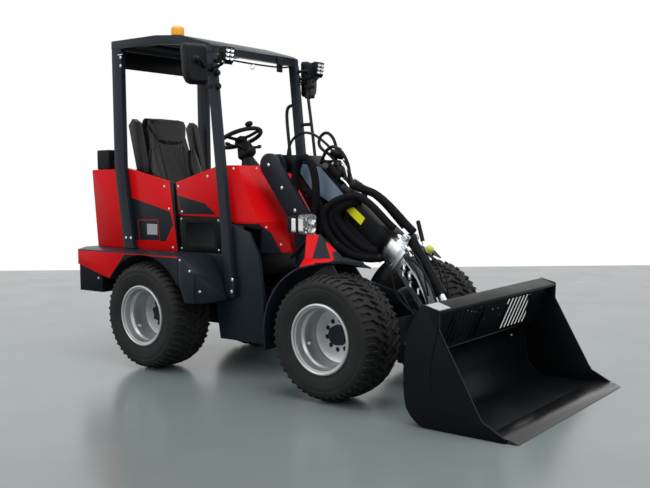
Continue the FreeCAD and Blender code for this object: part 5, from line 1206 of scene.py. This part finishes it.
paddle = turned("stalk", mm([(0, 0), (0, 11), (70, 7), (110, 6.5), (118, 12), (146, 12), (150, 0)]),
    (0.006, -0.034, -0.078), (0.05, -1.0, 0.16), 24)
lever = hose("lever", mm([(30, -30, -120), (60, -75, -115), (62, -110, -95), (50, -135, -70)]), 0.006, 6, 4)
tube = turned("tube", mm([(-255, 0), (-255, 45), (-300, 43), (-560, 41), (-594, 36), (-594, 0)]), (0, 0, 0),
    (0, 0, 1), 32)
console = moved(joined("console", [head, boot, stalk, paddle, lever, tube]), WHEEL)
leg = drum("leg", (-0.407, 0, 1.075), (-0.377, 0, 0.806), 0.033, 24, 0.030)
foot = bevel(block("foot", (-0.477, -0.090, 0.8004), (-0.347, 0.090, 0.8135)), 0.003)
done(smooth(joined("steering_console", [console, leg, foot]), 35), "rear_frame", plastic, ("steering_column",))

for side, tag in SIDES:
    cover_screws = (((-0.212, 0.228, 0.975), (0.6, 0.75, 0)), ((-0.155, 0.145, 0.857), (0.6, 0.75, 0)),
        ((-0.410, 0.326, 1.368), (0.5, 0.8, 0.2)), ((-0.421, 0.082, 1.369), (0.9, 0.1, 0.3)),
        ((-0.590, 0.6555, 0.770), (0, 1, 0)), ((-0.500, 0.6555, 0.703), (0.1, 1, 0)),
        ((-0.448, 0.6175, 0.569), (0.7, 0.7, 0)), ((-1.452, 0.6475, 0.600), (0, 1, 0)))
    for i, ((x, y, z), (dx, dy, dz)) in enumerate(cover_screws):
        screw("panel_screw_%s%d" % (tag, i), (x, side * y, z), (dx, side * dy, dz), "rear_frame", radius=0.0065)
lining = bevel(block("cowl_lining", (-0.346, -0.300, 0.802), (-0.340, 0.300, 1.010)), 0.001, 1)
done(lining, "rear_frame", plastic)


# ---- Headlamps: clear body, reflector cups, black back and cap ----

glass = bevel(block("head_lens", (0.206, -0.413, 0.950), (0.292, -0.312, 1.076)), 0.022, 5, 20)
both("headlamp_glass", smooth(glass, 50), "front_frame", lens)
reflector = bevel(block("head_reflector", (0.150, -0.409, 0.966), (0.258, -0.317, 1.050)), 0.010, 3, 20)
for x in (0.164, 0.178, 0.192):
    rib = bevel(block("head_rib", (x - 0.002, -0.4115, 0.964), (x + 0.002, -0.315, 1.052)), 0.0012)
    reflector = joined("head_reflector", [reflector, rib])
cups = led_face(0.276, (-0.402, 0.958), (-0.322, 1.066), 2, 1)
both("headlamp_cups", joined("cups", [reflector, cups]), "front_frame", led)
back = bevel(block("head_back", (0.123, -0.413, 0.959), (0.158, -0.312, 1.061)), 0.010, 3, 20)
collar = block("head_collar", (0.199, -0.4145, 0.954), (0.211, -0.3105, 1.070))
collar_in = block("collar_in", (0.190, -0.4085, 0.960), (0.220, -0.3165, 1.064))
carve(collar, [collar_in])
bracket = outline_solid("head_bracket", upright(-0.318, [(47, 1038), (136, 1036), (136, 1052), (50, 1058)]),
    (0, 0.120, 0))
bevel(bracket, 0.002)
both("headlamp_case", smooth(joined("head_case", [back, collar, bracket]), 30), "front_frame", plastic,
    ("headlamps",))
wire = hose("head_lead", mm([(130, -350, 985), (100, -330, 965), (60, -290, 960), (40, -230, 985), (40, -196, 1010)]),
    0.0045, 8, 3)
both("headlamp_lead", wire, "front_frame", hose_rubber)
for i, (x, z) in enumerate(((-0.214, 1.390), (-0.100, 1.238), (0.010, 1.090))):
    for side, tag in SIDES:
        screw("cover_bolt_%d%s" % (i, tag[0]), (x, side * COVER_Y, z), (0, side, 0), "front_frame", radius=0.009)


# ---- Nose of the boom: coupler with lever and cap, pipes, fittings and hoses ----

body_block = block("coupler", (0.742, 0.0725, 0.772), (0.822, 0.152, 0.852))
moved(body_block, about((0.782, 0, 0.812), 38, "Y"))
inset(body_block, facing("y"), 0.010, 0.006)
bevel(body_block, 0.003, 2, 25)
flange = outline_solid("coupler_plate", upright(0.0645, [(712, 780), (790, 884), (836, 868), (872, 790), (800, 700),
    (740, 700)]), (0, 0.0075, 0))
bevel(flange, 0.0015)
done(smooth(joined("coupler_block", [body_block, flange]), 30), "inner_boom", zinc, ("hydraulic_coupler",))
stem = drum("stem", (0.806, 0.112, 0.842), (0.790, 0.112, 0.905), 0.0075, 20)
eye = turned("stem_eye", mm([(-14, 0), (-14, 16), (-10, 19), (10, 19), (14, 16), (14, 0)]), (0.806, 0.112, 0.846),
    (0, 1, 0), 24)
done(smooth(joined("coupler_stem", [stem, eye]), 35), "inner_boom", chrome)
grip_steps = [(0.0, 0.0), (0.0, 0.0115), (0.004, 0.0138)]
for i in range(9):
    grip_steps += [(0.012 + i * 0.012, 0.0138), (0.016 + i * 0.012, 0.0126), (0.020 + i * 0.012, 0.0138)]
grip_steps += [(0.128, 0.0135), (0.134, 0.009), (0.135, 0.0)]
grip = turned("coupler_grip", grip_steps, (0.792, 0.112, 0.898), (-0.268, 0, 0.963), 24)
done(smooth(grip, 40), "inner_boom", grip_rubber)
cap = turned("coupler_cap", mm([(-16, 0), (-16, 24), (-10, 27), (10, 27), (20, 22), (27, 12), (29, 0)]),
    (0.836, 0.116, 0.846), (0.70, 0.15, 0.70), 32)
done(smooth(cap, 40), "inner_boom", brass_green)
for i, (y, along, n) in enumerate(((0.090, 1.145, 0.200), (0.112, 1.140, 0.204), (0.134, 1.145, 0.196),
        (0.150, 1.150, 0.170))):
    a, b, c = boom_line([(along, y, n - 0.020), (along - 0.020, y, n - 0.018), (along - 0.052, y * 0.96, n - 0.014)])
    nut("coupler_nut_%d" % i, a, b, 0.0125, "inner_boom")
    line_run("coupler_tail_%d" % i, [a, b, c], 0.0075, "inner_boom", chrome, 4, 4)

for i, y in enumerate((-0.046, -0.026, 0.026, 0.046)):
    run = boom_line([(1.000, y * 0.8, 0.214), (1.040, y, 0.206), (1.090, y, 0.200), (1.128, y * 1.1, 0.196),
        (1.158, y * 1.2, 0.182)])
    line_run("nose_pipe_%d" % i, run, 0.0072, "inner_boom", chrome, 4, 6)
    nut("nose_nut_%d" % i, *boom_line([(1.140, y * 1.15, 0.190), (1.164, y * 1.22, 0.178)]), 0.0115, "inner_boom")
    nut("nose_ring_%d" % i, *boom_line([(1.010, y * 0.85, 0.212), (1.030, y * 0.95, 0.208)]), 0.0115, "inner_boom")
arcs = (
    ("nose_hose_a", 0.0064, mm([(800, -56, 850), (836, -56, 830), (880, -55, 780), (905, -54, 710), (916, -53, 640),
        (930, -52, 580)])),
    ("nose_hose_b", 0.0064, mm([(815, 56, 846), (870, 57, 826), (925, 57, 770), (958, 56, 690), (972, 55, 600),
        (985, 54, 540)])),
    ("nose_hose_e", 0.0072, mm([(800, -78, 812), (850, -86, 798), (905, -88, 752), (950, -86, 680), (985, -80, 600),
        (1010, -74, 520)])),
    ("nose_hose_f", 0.0072, mm([(790, -80, 796), (830, -90, 776), (870, -92, 730), (905, -90, 660), (930, -84, 590),
        (950, -78, 520)])),
    ("nose_hose_c", 0.0055, mm([(830, 100, 818), (880, 106, 800), (935, 104, 750), (970, 98, 680), (985, 90, 600),
        (990, 82, 520)])),
    ("nose_hose_d", 0.0060, mm([(625, -84, 820), (660, -86, 770), (690, -86, 700), (700, -86, 640), (720, -86, 580),
        (770, -86, 525), (820, -84, 490)])),
)
for name, radius, points in arcs:
    line_run(name, points, radius, "inner_boom", hose_rubber, 4, 10)
for i, (x, y, z, dx, dz) in enumerate(((0.930, -0.052, 0.580, 0.10, -1.0), (0.985, 0.054, 0.540, 0.1, -1.0),
        (0.800, -0.056, 0.850, -0.7, 0.7), (0.815, 0.056, 0.846, -0.7, 0.5))):
    a = Vector((x, y, z))
    nut("hose_end_%d" % i, a, a + Vector((dx, 0, dz)).normalized() * 0.026, 0.0100, "inner_boom")
tie = mm([(652, -66.5, 742), (700, -68.5, 778), (745, -68.5, 810), (786, -66, 838), (796, -40, 848)])
line_run("nose_tie", tie, 0.0034, "inner_boom", pale_plate, 3, 6)
# Black sheets on both sides of the nose stand for the shade in its cavity among the hoses: painted shade.
nose_shade_outline = mm([(1150, 74), (1400, 12), (1570, -64), (1600, -60), (1500, -10), (1288, 94), (1150, 130)])
for side, tag in SIDES:
    panel = outline_solid("nose_painted_shade_" + tag, [(s, side * 0.0625, n) for s, n in nose_shade_outline], (0, side * 0.0030, 0))
    panel = tidy_faces(bevel(panel, 0.0010))
    done(moved(panel, BOOM), "inner_boom", black_paint)
for i, (s, n, r) in enumerate(((1.165, 0.112, 0.0150), (1.185, 0.076, 0.0120), (1.225, 0.098, 0.0165),
        (1.262, 0.060, 0.0110), (1.330, 0.062, 0.0100))):
    a, b, c = boom_line([(s, -0.060, n), (s, -0.078, n), (s + 0.016, -0.092, n - 0.004)])
    nut("nose_fitting_%d" % i, a, b, r, "inner_boom")
    line_run("nose_elbow_%d" % i, [b - (b - a) * 0.2, b, c, c + (c - b)], r * 0.62, "inner_boom", zinc, 4, 5)
fork = [drum("fork", (1.010, -0.046, 0.590), (1.030, -0.046, 0.530), 0.0085, 16),
    drum("fork", (1.030, -0.046, 0.530), (0.960, -0.046, 0.500), 0.0085, 16)]
done(smooth(joined("nose_fork", fork), 35), "inner_boom", zinc)
pins = (
    ("tool_pin", 1.650, -0.117, 0.082, 0.020, "inner_boom"),
    ("tilt_pin", 1.062, 0.240, 0.068, 0.016, "inner_boom"),
    ("lift_pin", 0.300, -0.008, 0.066, 0.018, "boom"),
)
for name, s, n, half, radius, body in pins:
    for side, tag in SIDES:
        spot = BOOM @ Vector((s, side * half, n))
        head = turned(name, [(-0.004, 0.0), (-0.004, radius * 1.25), (0.004, radius * 1.25), (0.0065, radius * 1.1),
            (0.0065, radius * 0.4), (0.0045, radius * 0.3), (0.0045, 0.0)], spot, (0, side, 0), 32)
        done(smooth(head, 30), body, zinc)
dressed("boom_inner", "boom_inner_skin", "inner_boom", zinc, 0.003)


# ---- Floor, light and camera ----

CAM_SPOT = Vector((3.560, -4.466, 1.274))
CAM_TURN = rad(37.72)
CAM_TIP = rad(90 - 4.17)        # up from straight down
CAM_ROLL = rad(-0.496)
ahead = Vector((-sin(CAM_TURN), cos(CAM_TURN), 0))
aside = Vector((cos(CAM_TURN), sin(CAM_TURN), 0))
FLOOR_FAR = 12.6
spot = Vector((CAM_SPOT.x, CAM_SPOT.y, 0))
corners = [spot + ahead * a + aside * s for a, s in ((-4, -9), (-4, 9), (FLOOR_FAR, 9), (FLOOR_FAR, -9))]
floor = meshed("floor", [c + Vector((0, 0, -0.001)) for c in corners], [], [(0, 1, 2, 3)])
slab = Finish("floor_screed", None, (0.24, 0.285, 0.28), 0.3)
slab.uneven(0.12, 0.16, 2.0, 4.0)
slab.set("Base Color", slab.mix(slab.noise(1.5, 5.0), (0.20, 0.245, 0.243), (0.25, 0.295, 0.29)))
floor.data.materials.append(slab.mat)

world = bpy.data.worlds.new("studio")
scene.world = world
world.use_nodes = True
links = world.node_tree.links
world.node_tree.nodes.clear()
kinds = ("Background", "Background", "LightPath", "Math", "Math", "MixShader", "OutputWorld")
soft, white, rays, seen, bright, swap, out = (world.node_tree.nodes.new("ShaderNode" + kind) for kind in kinds)
for sky, color, strength in ((soft, (0.95, 0.98, 1.0, 1), 0.42), (white, (1, 1, 1, 1), 1.0)):
    sky.inputs["Color"].default_value = color
    sky.inputs["Strength"].default_value = strength
seen.operation = bright.operation = "MAXIMUM"
for source, target in ((rays.outputs["Is Camera Ray"], seen.inputs[0]),
        (rays.outputs["Is Glossy Ray"], seen.inputs[1]), (seen.outputs[0], bright.inputs[0]),
        (rays.outputs["Is Transmission Ray"], bright.inputs[1]), (bright.outputs[0], swap.inputs[0]),
        (soft.outputs[0], swap.inputs[1]), (white.outputs[0], swap.inputs[2]), (swap.outputs[0], out.inputs[0])):
    links.new(source, target)


def softbox(name, spot, aim, size, power, colour=(1, 1, 1)):
    lamp = bpy.data.lights.new(name, "AREA")
    lamp.shape = "RECTANGLE"
    lamp.size, lamp.size_y = size
    lamp.energy, lamp.color = power, colour
    box = linked(name, lamp)
    box.location = spot
    box.rotation_euler = (Vector(aim) - Vector(spot)).to_track_quat("-Z", "Y").to_euler()


softbox("ceiling", (0.4, -0.6, 4.6), (0, 0, 0.8), (4.5, 3.2), 120)
softbox("front_window", (4.2, -1.2, 3.0), (0.3, 0, 0.8), (2.6, 2.2), 45, (1.0, 0.98, 0.95))
softbox("side_window", (-1.8, -4.6, 2.8), (-0.5, 0, 0.9), (3.0, 1.8), 40, (0.96, 0.98, 1.0))

lens_data = bpy.data.cameras.new("camera")
lens_data.lens, lens_data.sensor_width = 47.21, 36.0
camera = linked("camera", lens_data)
pose = Matrix.Rotation(CAM_TURN, 4, "Z") @ Matrix.Rotation(CAM_TIP, 4, "X") @ Matrix.Rotation(CAM_ROLL, 4, "Z")
camera.matrix_world = Matrix.Translation(CAM_SPOT) @ pose
scene.camera = camera
scene.view_settings.view_transform = "Standard"
